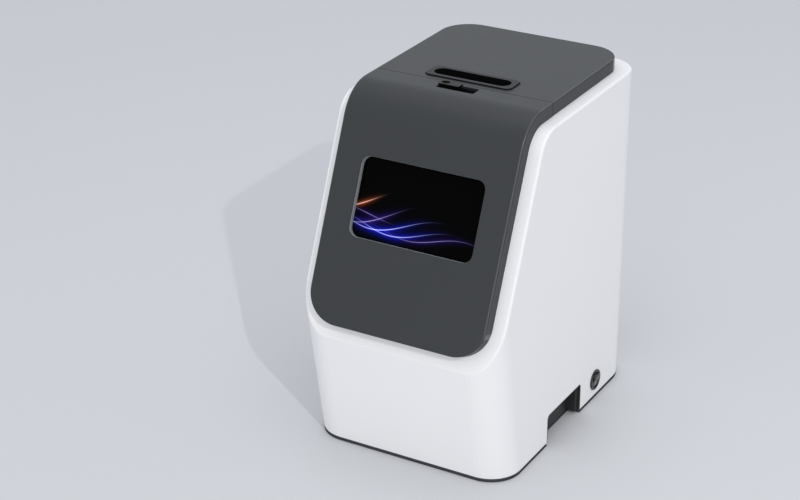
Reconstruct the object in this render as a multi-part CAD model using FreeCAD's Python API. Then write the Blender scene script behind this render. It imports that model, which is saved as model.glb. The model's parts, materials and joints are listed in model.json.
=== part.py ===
import FreeCAD, Part
import math
import os

# Bench grinder for sample tubes: a moulded white housing with a leaning chin and a sloped front,
# a dark front cover with a display, a dark hinged lid over the grinding chamber, and the drive
# that shakes the tube rack up and down.
# Millimetres. X to the right, Y to the back, Z up, origin on the table below the housing's middle.

V = FreeCAD.Vector

# Housing outline; heights are above the table
body_width = 280.0
body_back = 202.5
foot_front = 164.5
shell_gap = 5.0
shell_height = 437.5
knee_rise = 160.0
chin_angle = math.radians(11.03)
slope_angle = math.radians(22.76)
bend_radius = 38.0
corner_radius = 42.0
shell_wall = 3.5
rim_edge_radius = 3.0

# Front cover and lid
cover_rim = 17.6
cover_back_rim = 15.6
cover_proud = 18.0
cover_wall = 3.0
cover_corner = 42.0
cover_low_rise = 184.0
cover_edge_radius = 2.5
split_y = -25.5
split_gap = 0.8
lid_lift = 0.5

# Display
display_rise = 334.5
display_width = 171.0
display_height = 101.6
display_corner = 12.6
display_depth = 8.5
display_lip = 2.5
glass_overlap = 4.0
glass_thickness = 3.0
module_border = 2.0
module_thickness = 9.0
bracket_border = 12.0
bracket_window = 40.0
sheet = 1.5
display_boss_radius = 4.5
board_thickness = 1.6
board_standoff = 8.0

# Lid pull, latch and striker
pull_length = 119.0
pull_width = 33.5
pull_y = 0.3
pull_proud = 1.7
pull_slot_length = 105.0
pull_slot_width = 22.0
pull_wall = 2.0
latch_width = 52.0
latch_front = 22.5
latch_back = 4.5
latch_travel = 24.0
latch_plate_width = 29.0
latch_plate_front = 13.5
latch_plate_back = 0.8
latch_plate_height = 1.6
latch_dimple_length = 11.0
latch_dimple_width = 8.4
latch_dimple_depth = 0.9
latch_dimple_inset = 2.5
latch_dimple_shift = 0.6
latch_tray_wall = 3.0
tongue_thickness = 3.0
tongue_drop = 10.0
striker_thickness = 2.5
striker_play = 1.6

# Chamber
chamber_width = 184.0
chamber_length = 156.0
chamber_y = 79.5
chamber_depth = 124.0
chamber_sheet = 1.2
chamber_corner = 12.0
chamber_flange = 9.0
chamber_floor_radius = 8.0
seal_thickness = 2.0
seal_width = 5.0
pan_thickness = 2.0
pan_gap = 1.0

# Lid hinges
hinge_x = 55.0
knuckle_radius = 5.0
knuckle_width = 12.0
ear_width = 6.6
pin_radius = 2.0
leaf_thickness = 3.0
leaf_reach = 43.0

# Base
foot_radius = 12.0
foot_height = 1.2
tray_inset = 1.5
tray_upstand = 10.0
upstand_wall = 2.5
boss_radius = 6.0
screw_radius = 1.9
tray_screw_y = (-101.5, 123.5)
tray_post_inset = 18.5
tray_post_y = (-124.5, 153.5)

# Hand grips at the lower side edges
grip_y = 3.5
grip_half = 50.0
grip_rise = 39.2
grip_corner = 6.0
grip_depth = 15.0
grip_lip = 1.3
grip_flange_side = 9.0
grip_flange_top = 6.0
grip_wall = 2.0
grip_border = 3.0
grip_margin = 3.0

# Rocker switch on the right side
switch_y = 97.5
switch_rise = 23.4
switch_radius = 14.3
switch_rim = 2.0
switch_body_radius = 12.4
switch_body_depth = 17.0
switch_well_radius = 11.4
switch_well_depth = 9.0
blade_spacing = 6.0
rocker_radius = 10.1
rocker_width = 16.0
rocker_face = 4.5
rocker_hollow = 1.4
rocker_tilt = 15.0
pivot_depth = 0.8
pivot_radius = 1.5
pivot_length = 1.2

# Back panel, mains inlet and fan
panel_side = 50.0
panel_low = 20.0
panel_high = 320.0
panel_corner = 8.0
panel_sheet = 2.0
panel_border = 6.0
inlet_inset = 32.0
inlet_z = 46.0
inlet_length = 27.2
inlet_width = 19.8
inlet_depth = 16.5
fan_inset = 50.0
fan_z = 230.0
fan_size = 80.0
fan_thickness = 25.0
fan_blades = 7

# Drive
chassis_z = 19.0
chassis_sheet = 3.0
deck_sheet = 5.0
deck_hole_radius = 16.0
column_radius = 7.0
guide_radius = 6.0
guide_offset = 54.0
plunger_radius = 10.0
stroke = 15.0
crankcase_half = 42.0
crankcase_length = 80.0
crankcase_top = 150.0
axle_z = 80.0
motor_y = -56.5
motor_radius = 42.0
motor_length = 112.0
motor_shaft_radius = 7.0
motor_terminal = (30.0, 70.0)
motor_terminal_half = 18.0
motor_terminal_height = 14.0
motor_bore_depth = 30.0
supply_gap = 16.0
supply_margin = 13.0
supply_inset = (14.0, 18.0)
supply_height = 120.0
drive_shaft_radius = 8.0
belt_x = 68.0
belt_width = 15.0
belt_thickness = 2.0
belt_pitch = 5.0
motor_teeth = 24
drive_teeth = 36
tooth_depth = 2.0

# Rack, tubes and clamp
carriage_rise = 23.0
carriage_thickness = 10.0
rack_length = 144.0
rack_width = 104.0
rack_height = 38.0
tube_columns = 6
tube_rows = 4
tube_pitch = 20.0
tube_radius = 5.4
tube_cap_radius = 6.6
tube_cap_height = 6.0
stud_radius = 5.0
pad_thickness = 2.0
plate_thickness = 5.0
knob_radius = 26.0
knob_height = 15.0
knob_lobes = 6

# Clearances
running = 0.05
seat = 0.3
fit_gap = 0.4

# Values that follow from the sizes above
half_width = body_width / 2
rim_z = shell_gap + shell_height
knee_z = shell_gap + knee_rise
cover_half = half_width - cover_rim
cover_back = body_back - cover_back_rim
lid_top_z = rim_z + cover_proud
inner_half = half_width - shell_wall
grip_inner = half_width - grip_depth - grip_wall
chassis_half = grip_inner - shell_wall - grip_margin
tray_post_x = chassis_half - tray_post_inset
panel_half = half_width - panel_side
inlet_x = -panel_half + inlet_inset
fan_x = panel_half - fan_inset
chamber_front = chamber_y - chamber_length / 2
chamber_back = chamber_y + chamber_length / 2
flange_z = rim_z + chamber_sheet
seal_z = flange_z + seal_thickness
pan_z = seal_z + pan_thickness
leaf_z = pan_z + leaf_thickness
hinge_z = leaf_z - knuckle_radius
hinge_y = cover_back
chamber_floor_z = flange_z - chamber_depth
deck_top_z = chamber_floor_z - chamber_sheet
chassis_top = chassis_z + chassis_sheet


def chin_y(z, offset=0.0):
    """Front of the leaning chin at a height, moved outwards by the offset."""
    return -foot_front - math.tan(chin_angle) * (z - shell_gap) - offset / math.cos(chin_angle)


def slope_y(z, offset=0.0):
    """Front of the sloped rim at a height, moved outwards by the offset."""
    return chin_y(knee_z) + math.tan(slope_angle) * (z - knee_z) - offset / math.cos(slope_angle)


display_z = shell_gap + display_rise
slope_origin = V(0, slope_y(display_z, cover_proud), display_z)
slope_place = FreeCAD.Placement(slope_origin, FreeCAD.Rotation(V(1, 0, 0), 90 - math.degrees(slope_angle)))


def on_slope(shape):
    """Move a shape from local x, up the slope and outwards to its place on the front cover's face."""
    moved = shape.copy()
    moved.Placement = slope_place.multiply(moved.Placement)
    return moved


def box(x0, x1, y0, y1, z0, z1):
    return Part.makeBox(x1 - x0, y1 - y0, z1 - z0, V(x0, y0, z0))


def rod(radius, start, end):
    """Cylinder between two points."""
    return Part.makeCylinder(radius, (end - start).Length, start, end - start)


def outline(points, radii):
    """Face bounded by straight runs, with every corner rounded by a tangent arc."""
    turns = []
    for index, radius in enumerate(radii):
        here = points[index]
        back = (points[index - 1] - here).normalize()
        on = (points[(index + 1) % len(points)] - here).normalize()
        if radius <= 0:
            turns.append((here, None, here))
            continue
        half = back.getAngle(on) / 2
        middle = (back + on).normalize()
        reach = radius / math.tan(half)
        crown = here + middle * (radius / math.sin(half) - radius)
        turns.append((here + back * reach, crown, here + on * reach))
    edges = []
    for index, (start, crown, end) in enumerate(turns):
        following = turns[(index + 1) % len(turns)][0]
        if crown is not None:
            edges.append(Part.Arc(start, crown, end).toShape())
        if end.distanceToPoint(following) > 1e-6:
            edges.append(Part.LineSegment(end, following).toShape())
    return Part.Face(Part.Wire(edges))


def slab(x0, x1, y0, y1, z0, z1, low_radius, high_radius=None):
    """Plate with rounded corners: the low radius at y0, the high one at y1."""
    high = low_radius if high_radius is None else high_radius
    points = [V(x0, y0, z0), V(x1, y0, z0), V(x1, y1, z0), V(x0, y1, z0)]
    return outline(points, [low_radius, low_radius, high, high]).extrude(V(0, 0, z1 - z0))


def fused(shapes):
    """One solid from shapes that touch or overlap."""
    whole = shapes[0]
    if len(shapes) > 1:
        whole = whole.fuse(shapes[1:])
    return whole.removeSplitter()


def save(name, shape):
    os.makedirs("parts", exist_ok=True)
    shape.exportStep("parts/" + name + ".step")
    print(name, len(shape.Solids), "solids", round(shape.Volume / 1000, 2), "cm3", shape.isValid())


def side_prism(offset, low_z, back, half):
    """The side profile, chin, slope, bend and top, drawn across the width."""
    top = rim_z + offset
    meet_z = (chin_y(0, offset) - slope_y(0, offset)) / (math.tan(chin_angle) + math.tan(slope_angle))
    points = [V(-half, chin_y(low_z, offset), low_z), V(-half, chin_y(meet_z, offset), meet_z),
              V(-half, slope_y(top, offset), top), V(-half, back, top), V(-half, back, low_z)]
    return outline(points, [0, 0, bend_radius + offset, 0, 0]).extrude(V(2 * half, 0, 0))


def body_form(offset, low_z):
    """The housing's outer form, or its inner one with a negative offset."""
    half = half_width + offset
    radius = corner_radius + offset
    far = 3 * body_back
    rise = rim_z + offset - low_z
    front = chin_y(low_z, offset)
    lean = V(0, -math.tan(chin_angle) * rise, rise)
    front_plan = outline([V(-half, front, low_z), V(half, front, low_z), V(half, far, low_z),
                          V(-half, far, low_z)], [radius, radius, 0, 0])
    back_prism = slab(-half, half, -far, body_back + offset, low_z, rim_z + offset, 0, radius)
    form = side_prism(offset, low_z, body_back + offset, half)
    return form.common(front_plan.extrude(lean)).common(back_prism)


def surface_edges(shape, offset):
    """Edges around the sloped and level top surface, without its own seams at the bend."""
    radius = bend_radius + offset
    centre_z = rim_z + offset - radius
    centre_y = slope_y(centre_z, offset) + radius / math.cos(slope_angle)
    chosen = []
    for edge in shape.Edges:
        middle = edge.valueAt((edge.FirstParameter + edge.LastParameter) / 2)
        on_top = abs(middle.z - rim_z - offset) < 1e-3
        on_front = abs(middle.y - slope_y(middle.z, offset)) < 1e-3
        on_bend = abs(math.hypot(middle.y - centre_y, middle.z - centre_z) - radius) < 1e-3
        in_bend = middle.y < centre_y + 1e-3 and middle.z > centre_z - 1e-3
        ends = edge.Vertexes
        level = len(ends) == 2 and ends[0].Point.sub(ends[1].Point).cross(V(1, 0, 0)).Length < 1e-3
        seam = level and on_bend
        if (on_top or on_front or (on_bend and in_bend)) and not seam:
            chosen.append(edge)
    return chosen


def grip_outline(side, inset_side, inset_top, low_z):
    """Arched outline of a hand grip in the side wall's plane."""
    low_y = grip_y - grip_half + inset_side
    high_y = grip_y + grip_half - inset_side
    top = shell_gap + grip_rise - inset_top
    x = side * half_width
    points = [V(x, low_y, low_z), V(x, high_y, low_z), V(x, high_y, top), V(x, low_y, top)]
    radius = max(grip_corner - inset_top, 1.0)
    return outline(points, [0, 0, radius, radius])


def grip_prism(side, inset_side, inset_top, low_z, near, far):
    """The grip outline drawn inwards, between two depths below the side face."""
    face = grip_outline(side, inset_side, inset_top, low_z)
    face.translate(V(-side * near, 0, 0))
    return face.extrude(V(-side * (far - near), 0, 0))


def plan_slab(offset, z0, z1):
    """The housing's outline at its lower edge, as a plate."""
    half = half_width + offset
    return slab(-half, half, -foot_front - offset, body_back + offset, z0, z1, corner_radius + offset)


# Screws that hold the tray to the housing stand in bosses on the side walls
tray_screws = [V(side * (inner_half - boss_radius), y, 0) for side in (-1, 1) for y in tray_screw_y]
tray_posts = [V(side * tray_post_x, y, 0) for side in (-1, 1) for y in tray_post_y]
tray_top = shell_gap + tray_upstand


def latch_zone(x0, x1, y0, y1, z0, z1, radius):
    """Plate behind the split line: y is measured forwards from it."""
    return slab(x0, x1, split_y - y1, split_y - y0, z0, z1, radius)


def housing_shell():
    outer = body_form(0, shell_gap)
    outer = outer.makeFillet(rim_edge_radius, surface_edges(outer, 0))
    shell = outer.cut(body_form(-shell_wall, shell_gap - 1))

    # Bosses for the tray screws, with a web to the wall
    bosses = []
    for place in tray_screws:
        side = math.copysign(1, place.x)
        low = V(place.x, place.y, tray_top + seat)
        high = low + V(0, 0, 26)
        bosses.append(rod(boss_radius, low, high))
        x0, x1 = sorted((place.x, side * (inner_half + 1)))
        bosses.append(box(x0, x1, place.y - 1.5, place.y + 1.5, low.z, high.z + 14))
    shell = fused([shell] + bosses)
    for place in tray_screws:
        low = V(place.x, place.y, tray_top)
        shell = shell.cut(rod(screw_radius + running, low, low + V(0, 0, 22)))

    # Aperture behind the front cover, and the openings in the top
    depth = cover_proud + shell_wall
    half = display_width / 2 + display_lip + bracket_border + 6
    rise = display_height / 2 + display_lip + bracket_border + 6
    shell = shell.cut(on_slope(slab(-half, half, -rise, rise, -depth - 2, 1, panel_corner)))
    grow = chamber_sheet + fit_gap
    low = rim_z - shell_wall - 1
    shell = shell.cut(slab(-chamber_width / 2 - grow, chamber_width / 2 + grow, chamber_front - grow,
                           chamber_back + grow, low, rim_z + 1, chamber_corner + grow))
    pocket = latch_width / 2 + latch_tray_wall
    shell = shell.cut(latch_zone(-pocket, pocket, -latch_front / 2 - 3, latch_front + 3, low, rim_z + 1, 3))
    for side in (-1, 1):
        reach = knuckle_width / 2 + ear_width + 1
        shell = shell.cut(box(side * hinge_x - reach, side * hinge_x + reach, hinge_y - knuckle_radius - 1,
                              hinge_y + knuckle_radius + 1, low, rim_z + 1))

    # Hand grips, switch hole and the stepped opening for the back panel
    for side in (-1, 1):
        shell = shell.cut(grip_prism(side, 0, 0, shell_gap - 1, -1, shell_wall + 1))
    hole = V(inner_half - 1, switch_y, shell_gap + switch_rise)
    shell = shell.cut(rod(switch_body_radius + seat, hole, hole + V(shell_wall + 2, 0, 0)))
    step = panel_half + fit_gap
    shell = shell.cut(back_plate(step, panel_low - fit_gap, panel_high + fit_gap, panel_corner,
                                 body_back - panel_sheet, body_back + 1))
    step = panel_half - panel_border
    shell = shell.cut(back_plate(step, panel_low + panel_border, panel_high - panel_border, panel_corner,
                                 body_back - shell_wall - 1, body_back))
    return shell


def back_plate(half, low, high, radius, y0, y1):
    """Plate with rounded corners standing across the back."""
    points = [V(-half, y0, low), V(half, y0, low), V(half, y0, high), V(-half, y0, high)]
    return outline(points, [radius] * 4).extrude(V(0, y1 - y0, 0))


def cap_form(offset, inset, floor):
    """Raised form of the cover and lid above the rim, from the floor offset to the outer one."""
    half = cover_half - inset
    back = cover_back - inset
    low_z = knee_z
    form = side_prism(offset, low_z, back, half).cut(side_prism(floor, low_z - 1, back + 1, half + 1))
    low = (cover_low_rise - display_rise) / math.cos(slope_angle) + inset
    far = 3 * body_back
    radius = cover_corner - inset
    front_mask = slab(-half, half, low, far, -far, far, radius, 0)
    back_mask = slab(-half, half, -far, back, 0, 2 * rim_z, 0, radius)
    return form.common(on_slope(front_mask)).common(back_mask)


def cap_shell():
    """The whole raised form, front cover and lid together, with its rounded edges."""
    form = cap_form(cover_proud, 0, 0)
    return form.makeFillet(cover_edge_radius, surface_edges(form, cover_proud))


cap = cap_shell()
cap_hollow = cap_form(cover_proud - cover_wall, cover_wall, -1)
far_off = 4 * body_back


def y_half(y0, y1):
    """All of space between two planes across the depth."""
    return box(-far_off, far_off, y0, y1, -far_off, far_off)


def display_slab(grow, near, far, radius=None):
    """Plate over the display opening, between two depths below the cover's face."""
    half = display_width / 2 + grow
    rise = display_height / 2 + grow
    corner = display_corner + grow if radius is None else radius
    return on_slope(slab(-half, half, -rise, rise, -far, -near, corner))


display_stack = [display_depth, display_depth + glass_thickness,
                 display_depth + glass_thickness + module_thickness]
boss_x = display_width / 2 + glass_overlap + display_boss_radius + 1
boss_s = display_height / 2 - 4
boss_places = [(x, s) for x in (-boss_x, boss_x) for s in (-boss_s, boss_s)]


def front_cover():
    edge = split_y - split_gap / 2
    cover = cap.common(y_half(-far_off, edge))
    cover = cover.cut(cap_hollow.common(y_half(-far_off, edge - cover_wall)))
    pieces = [cover, display_slab(display_lip, cover_wall - 0.5, display_depth)]
    for x, s in boss_places:
        pieces.append(on_slope(rod(display_boss_radius, V(x, s, -cover_wall + 0.5), V(x, s, -display_stack[2]))))
    cover = fused(pieces).cut(display_slab(0, -1, display_depth + 1))
    for x, s in boss_places:
        low = V(x, s, -display_stack[2] - 1)
        cover = cover.cut(on_slope(rod(screw_radius + running, low, low + V(0, 0, 11))))

    # Recess of the latch, open at the top, and the way for its stem
    half = latch_width / 2
    cover = cover.cut(latch_zone(-half, half, latch_back, latch_front, lid_top_z - cover_wall - 1, lid_top_z + 1, 3))
    return cover


def latch_guide():
    """Tray below the latch recess: floor, walls and the slit for the slider's stem."""
    half = latch_width / 2
    wall = latch_tray_wall
    top = lid_top_z - cover_wall
    low = rim_z + 3
    tray = latch_zone(-half - wall, half + wall, latch_back - 1, latch_front + wall, low, top, 4)
    tray = tray.cut(latch_zone(-half, half, latch_back, latch_front, low + 3, top + 1, 3))
    slit = box(-half, half, split_y - stem_front - fit_gap, split_y - stem_back + fit_gap, low - 1, top)
    return tray.cut(slit)


stem_back = latch_back + 1.2
stem_front = latch_plate_front - 1.5
stem_low = -latch_width / 2 + 1
stem_width = latch_width - 2 - latch_travel
tongue_z = rim_z - tongue_drop
tongue_width = stem_width * 0.6


def latch_slider():
    """Thumb plate with a grip dimple, its stem, and the tongue that passes behind the split."""
    left = -latch_width / 2 - 1.5
    low = lid_top_z + seat
    high = low + latch_plate_height
    plate = latch_zone(left, left + latch_plate_width, latch_plate_back, latch_plate_front, low, high, 2.0)
    top_edges = [e for e in plate.Edges if e.BoundBox.ZMin > high - 1e-3]
    plate = plate.makeFillet(0.5, top_edges)
    middle = (latch_plate_back + latch_plate_front) / 2 - latch_dimple_shift
    start = left + latch_dimple_inset
    half = latch_dimple_width / 2
    dimple = latch_zone(start, start + latch_dimple_length, middle - half, middle + half,
                        high - latch_dimple_depth, high + 1, half - 0.01)
    plate = plate.cut(dimple)
    stem = box(stem_low, stem_low + stem_width, split_y - stem_front, split_y - stem_back, tongue_z - 4, low + 0.5)
    back = split_y + split_gap / 2 + cover_wall + striker_thickness + 4
    tongue = box(stem_low, stem_low + tongue_width, split_y - stem_front, back, tongue_z - tongue_thickness, tongue_z)
    return fused([plate, stem, tongue])


def lid_striker():
    """Steel catch on the lid's front wall: a hook that opens towards the released tongue."""
    front = split_y + split_gap / 2 + cover_wall
    mouth = stem_low + tongue_width + 13
    right = stem_low + tongue_width + latch_travel + 2
    low = tongue_z - tongue_thickness - striker_play - 4
    plate = box(mouth, right + 4, front, front + striker_thickness, low, lid_top_z - cover_wall)
    window = box(mouth - 1, right, front - 1, front + striker_thickness + 1,
                 tongue_z - tongue_thickness - striker_play, tongue_z + striker_play)
    foot = box(mouth - 6, right + 10, front, front + striker_thickness, rim_z + 6, lid_top_z - cover_wall)
    return fused([plate, foot]).cut(window)


def lid_shell():
    edge = split_y + split_gap / 2
    lid = cap.common(y_half(edge, far_off))
    lid = lid.cut(cap_hollow.common(y_half(edge + cover_wall, far_off)))
    lid = lid.cut(box(-half_width, half_width, split_y - 10, body_back, rim_z - 1, rim_z + lid_lift))
    grow = pull_wall + fit_gap / 2
    lid = lid.cut(pull_slab(grow, lid_top_z - cover_wall - 1, lid_top_z + 1))
    for side in (-1, 1):
        reach = knuckle_width / 2 + ear_width + seat + fit_gap
        start = V(side * hinge_x - reach, hinge_y, hinge_z)
        lid = lid.cut(rod(knuckle_radius + 1.0, start, start + V(2 * reach, 0, 0)))
    return lid


def pull_slab(grow, z0, z1):
    """Stadium of the lid pull's slot, grown by a wall."""
    half = pull_slot_length / 2 + grow
    rise = pull_slot_width / 2 + grow
    return slab(-half, half, pull_y - rise, pull_y + rise, z0, z1, rise - 0.01)


def lid_pull_insert():
    half = pull_length / 2
    rise = pull_width / 2
    top = lid_top_z + pull_proud
    frame = slab(-half, half, pull_y - rise, pull_y + rise, lid_top_z, top, 8.0)
    frame = frame.makeFillet(0.6, [e for e in frame.Edges if e.BoundBox.ZMin > top - 1e-3])
    pocket = pull_slab(pull_wall, pan_z, lid_top_z + 0.2)
    return fused([frame, pocket]).cut(pull_slab(0, pan_z + pull_wall, top + 1))


def lid_inner():
    """Pan that closes the lid's underside, with posts up to the lid's top wall."""
    half = cover_half - cover_wall - 7
    front = split_y + split_gap / 2 + cover_wall + striker_thickness + pan_gap
    back = hinge_y - knuckle_radius - 6
    pan = slab(-half, half, front, back, seal_z, pan_z, 8.0, cover_corner - cover_wall - 4)
    posts = [rod(5.0, V(x, y, pan_z - 0.5), V(x, y, lid_top_z - cover_wall))
             for x in (-half + 22, half - 22) for y in (front + 16, chamber_y, back - 30)]
    return fused([pan] + posts)


def lid_seal():
    inner = slab(-chamber_width / 2 - 2, chamber_width / 2 + 2, chamber_front - 2, chamber_back + 2,
                 flange_z + 0.1, seal_z, chamber_corner + 2)
    grow = 2 + seal_width
    outer = slab(-chamber_width / 2 - grow, chamber_width / 2 + grow, chamber_front - grow,
                 chamber_back + grow, flange_z + 0.1, seal_z, chamber_corner + grow)
    return outer.cut(inner)


def lid_hinge_arms():
    """Leaf on the lid's pan with a knuckle at its back, one for each hinge."""
    arms = []
    for side in (-1, 1):
        x = side * hinge_x
        narrow = knuckle_width / 2
        leaf = box(x - narrow, x + narrow, hinge_y - leaf_reach, hinge_y, pan_z, leaf_z)
        wide = box(x - 14, x + 14, hinge_y - leaf_reach, hinge_y - knuckle_radius - 6, pan_z, leaf_z)
        knuckle = rod(knuckle_radius, V(x - narrow, hinge_y, hinge_z), V(x + narrow, hinge_y, hinge_z))
        arm = fused([leaf, wide, knuckle])
        start = V(x - narrow - 1, hinge_y, hinge_z)
        arms.append(arm.cut(rod(pin_radius + running, start, start + V(knuckle_width + 2, 0, 0))))
    return Part.makeCompound(arms)


def hinge_brackets():
    """Base under the housing's top wall with two ears that stand through it to the hinge line."""
    brackets = []
    base_top = rim_z - shell_wall
    for side in (-1, 1):
        x = side * hinge_x
        near = knuckle_width / 2 + fit_gap
        far = near + ear_width - fit_gap
        pieces = [box(x - far - 6, x + far + 6, hinge_y - 14, hinge_y + 8, base_top - 3, base_top)]
        for way in (-1, 1):
            x0, x1 = sorted((x + way * near, x + way * far))
            pieces.append(rod(knuckle_radius, V(x0, hinge_y, hinge_z), V(x1, hinge_y, hinge_z)))
            pieces.append(box(x0, x1, hinge_y - knuckle_radius, hinge_y + knuckle_radius, base_top - 0.5, hinge_z))
        bracket = fused(pieces)
        start = V(x - far - 1, hinge_y, hinge_z)
        brackets.append(bracket.cut(rod(pin_radius + running, start, start + V(2 * far + 2, 0, 0))))
    return Part.makeCompound(brackets)


def hinge_pins():
    pins = []
    for side in (-1, 1):
        reach = knuckle_width / 2 + ear_width
        start = V(side * hinge_x - reach, hinge_y, hinge_z)
        pins.append(rod(pin_radius, start, start + V(2 * reach, 0, 0)))
    return Part.makeCompound(pins)


def display_glass():
    return display_slab(glass_overlap, display_stack[0], display_stack[1])


def display_module():
    case = display_slab(module_border, display_stack[1], display_stack[2], 2.0)
    relief = display_slab(-12.0, display_stack[2] - 2, display_stack[2] + 1, 3.0)
    return case.cut(relief)


def display_bracket():
    """Sheet metal frame behind the display, screwed to the cover's bosses, with board standoffs."""
    half = boss_x + display_boss_radius + 1
    rise = display_height / 2 + display_lip + 4
    near = display_stack[2]
    plate = on_slope(slab(-half, half, -rise, rise, -near - sheet, -near, 5.0))
    for x in (-bracket_window - 6, 0, bracket_window + 6):
        for s in (-15, 15):
            window = slab(x - bracket_window / 2, x + bracket_window / 2, s - 12, s + 12, -near - sheet - 1, -near + 1, 5.0)
            plate = plate.cut(on_slope(window))
    pieces = [plate]
    for x in (-half + 34, half - 34):
        for s in (-rise + 10, rise - 10):
            low = -near - sheet - board_standoff
            pieces.append(on_slope(rod(3.0, V(x, s, low), V(x, s, -near - 0.5))))
    plate = fused(pieces)
    for x, s in boss_places:
        low = V(x, s, -near - sheet - 1)
        plate = plate.cut(on_slope(rod(screw_radius + running, low, low + V(0, 0, sheet + 2))))
    return plate


def display_screws():
    screws = []
    near = display_stack[2]
    for x, s in boss_places:
        head = rod(3.4, V(x, s, -near - sheet - 2.2), V(x, s, -near - sheet))
        shank = rod(screw_radius, V(x, s, -near - sheet - 0.1), V(x, s, -near + 8))
        screws.append(on_slope(head.fuse(shank).removeSplitter()))
    return Part.makeCompound(screws)


def control_board():
    """Circuit board on the display bracket with its larger components."""
    half = boss_x - 22
    rise = display_height / 2 - 2
    near = display_stack[2] + sheet + board_standoff
    pieces = [slab(-half, half, -rise, rise, -near - board_thickness, -near, 3.0)]
    back = -near - board_thickness
    for x, s, wide, tall, deep in ((-45, 12, 28, 28, 4), (10, 18, 16, 20, 12), (38, 16, 18, 22, 14),
                                   (-8, -26, 60, 9, 10), (-62, -24, 14, 14, 3)):
        pieces.append(slab(x - wide / 2, x + wide / 2, s - tall / 2, s + tall / 2, back - deep, back + 0.2, 1.0))
    for x in (56, 67):
        pieces.append(rod(4.5, V(x, -22, back - 16), V(x, -22, back + 0.2)))
    return on_slope(fused(pieces))


def chamber_liner():
    """Deep-drawn tub with a flange that lies on the housing's top."""
    half = chamber_width / 2
    skin = chamber_sheet

    def tub(grow, z0, z1):
        return slab(-half - grow, half + grow, chamber_front - grow, chamber_back + grow, z0, z1,
                    chamber_corner + grow)

    outer = tub(skin, chamber_floor_z - skin, flange_z)
    outer = outer.makeFillet(chamber_floor_radius, [e for e in outer.Edges if e.BoundBox.ZMax < chamber_floor_z])
    inner = tub(0, chamber_floor_z, flange_z + 1)
    inner = inner.makeFillet(chamber_floor_radius - skin, [e for e in inner.Edges if e.BoundBox.ZMax < chamber_floor_z + 1])
    flange = tub(chamber_flange, rim_z, flange_z)
    liner = fused([outer, flange]).cut(inner)
    centre = V(0, chamber_y, chamber_floor_z - skin - 1)
    return liner.cut(rod(plunger_radius + 6, centre, centre + V(0, 0, skin + 2)))


def shaft_seal():
    """Lip seal in the chamber floor around the plunger."""
    centre = V(0, chamber_y, chamber_floor_z)
    ring = rod(plunger_radius + 13, centre, centre + V(0, 0, 3))
    ring = ring.fuse(Part.makeCone(plunger_radius + 8, plunger_radius + 3, 4, centre + V(0, 0, 2.5)))
    ring = ring.fuse(rod(plunger_radius + 5.7, centre - V(0, 0, chamber_sheet), centre + V(0, 0, 1)))
    below = centre - V(0, 0, chamber_sheet + 1)
    return ring.cut(rod(plunger_radius + seat, below, below + V(0, 0, 12))).removeSplitter()


column_places = [V(x, y, 0) for x in (-chamber_width / 2 - 8, chamber_width / 2 + 8)
                 for y in (chamber_front - 9, chamber_back + 7)]
guide_places = [V(0, chamber_y - guide_offset, 0), V(0, chamber_y + guide_offset, 0)]
deck_low = deck_top_z - deck_sheet


def deck_plate():
    """Steel deck that carries the chamber, with holes for the bushing and the guide rods."""
    reach = column_radius + 5
    xs = [place.x for place in column_places]
    ys = [place.y for place in column_places]
    deck = slab(min(xs) - reach, max(xs) + reach, min(ys) - reach, max(ys) + reach, deck_low, deck_top_z, reach)
    bores = [(V(0, chamber_y, 0), plunger_radius + 4 + running)]
    bores += [(place, guide_radius + running) for place in guide_places]
    bores += [(place, screw_radius + running) for place in column_places]
    for place, radius in bores:
        deck = deck.cut(rod(radius, place + V(0, 0, deck_low - 1), place + V(0, 0, deck_top_z + 1)))
    # Round holes lighten the deck on both sides
    for x in (-chamber_width / 3, chamber_width / 3):
        for y in (chamber_y - chamber_length / 4, chamber_y, chamber_y + chamber_length / 4):
            deck = deck.cut(rod(deck_hole_radius, V(x, y, deck_low - 1), V(x, y, deck_top_z + 1)))
    return deck


def deck_bushing():
    """Flanged bronze bushing that guides the plunger through the deck."""
    centre = V(0, chamber_y, 0)
    sleeve = rod(plunger_radius + 4, centre + V(0, 0, deck_low - 12), centre + V(0, 0, deck_top_z))
    flange = rod(plunger_radius + 9, centre + V(0, 0, deck_low - 3), centre + V(0, 0, deck_low))
    bore = rod(plunger_radius + running, centre + V(0, 0, deck_low - 20), centre + V(0, 0, deck_top_z + 5))
    return fused([sleeve, flange]).cut(bore)


def deck_columns():
    columns = []
    for place in column_places:
        low = place + V(0, 0, chassis_top)
        column = rod(column_radius, low, place + V(0, 0, deck_low))
        column = column.makeChamfer(0.8, [column.Edges[0], column.Edges[2]])
        hole = rod(screw_radius + running, place + V(0, 0, deck_low - 14), place + V(0, 0, deck_low + 1))
        columns.append(column.cut(hole))
    return Part.makeCompound(columns)


def deck_screws():
    """Flat screws from the deck into the columns, beside the tub's rounded floor."""
    screws = []
    for place in column_places:
        head = rod(3.4, place + V(0, 0, deck_top_z), place + V(0, 0, deck_top_z + 2))
        shank = rod(screw_radius, place + V(0, 0, deck_top_z - 16), place + V(0, 0, deck_top_z + 0.1))
        screws.append(head.fuse(shank).removeSplitter())
    return Part.makeCompound(screws)


def guide_rods():
    rods = []
    for place in guide_places:
        guide = rod(guide_radius, place + V(0, 0, chassis_top), place + V(0, 0, deck_top_z))
        rods.append(guide)
    return Part.makeCompound(rods)


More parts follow.
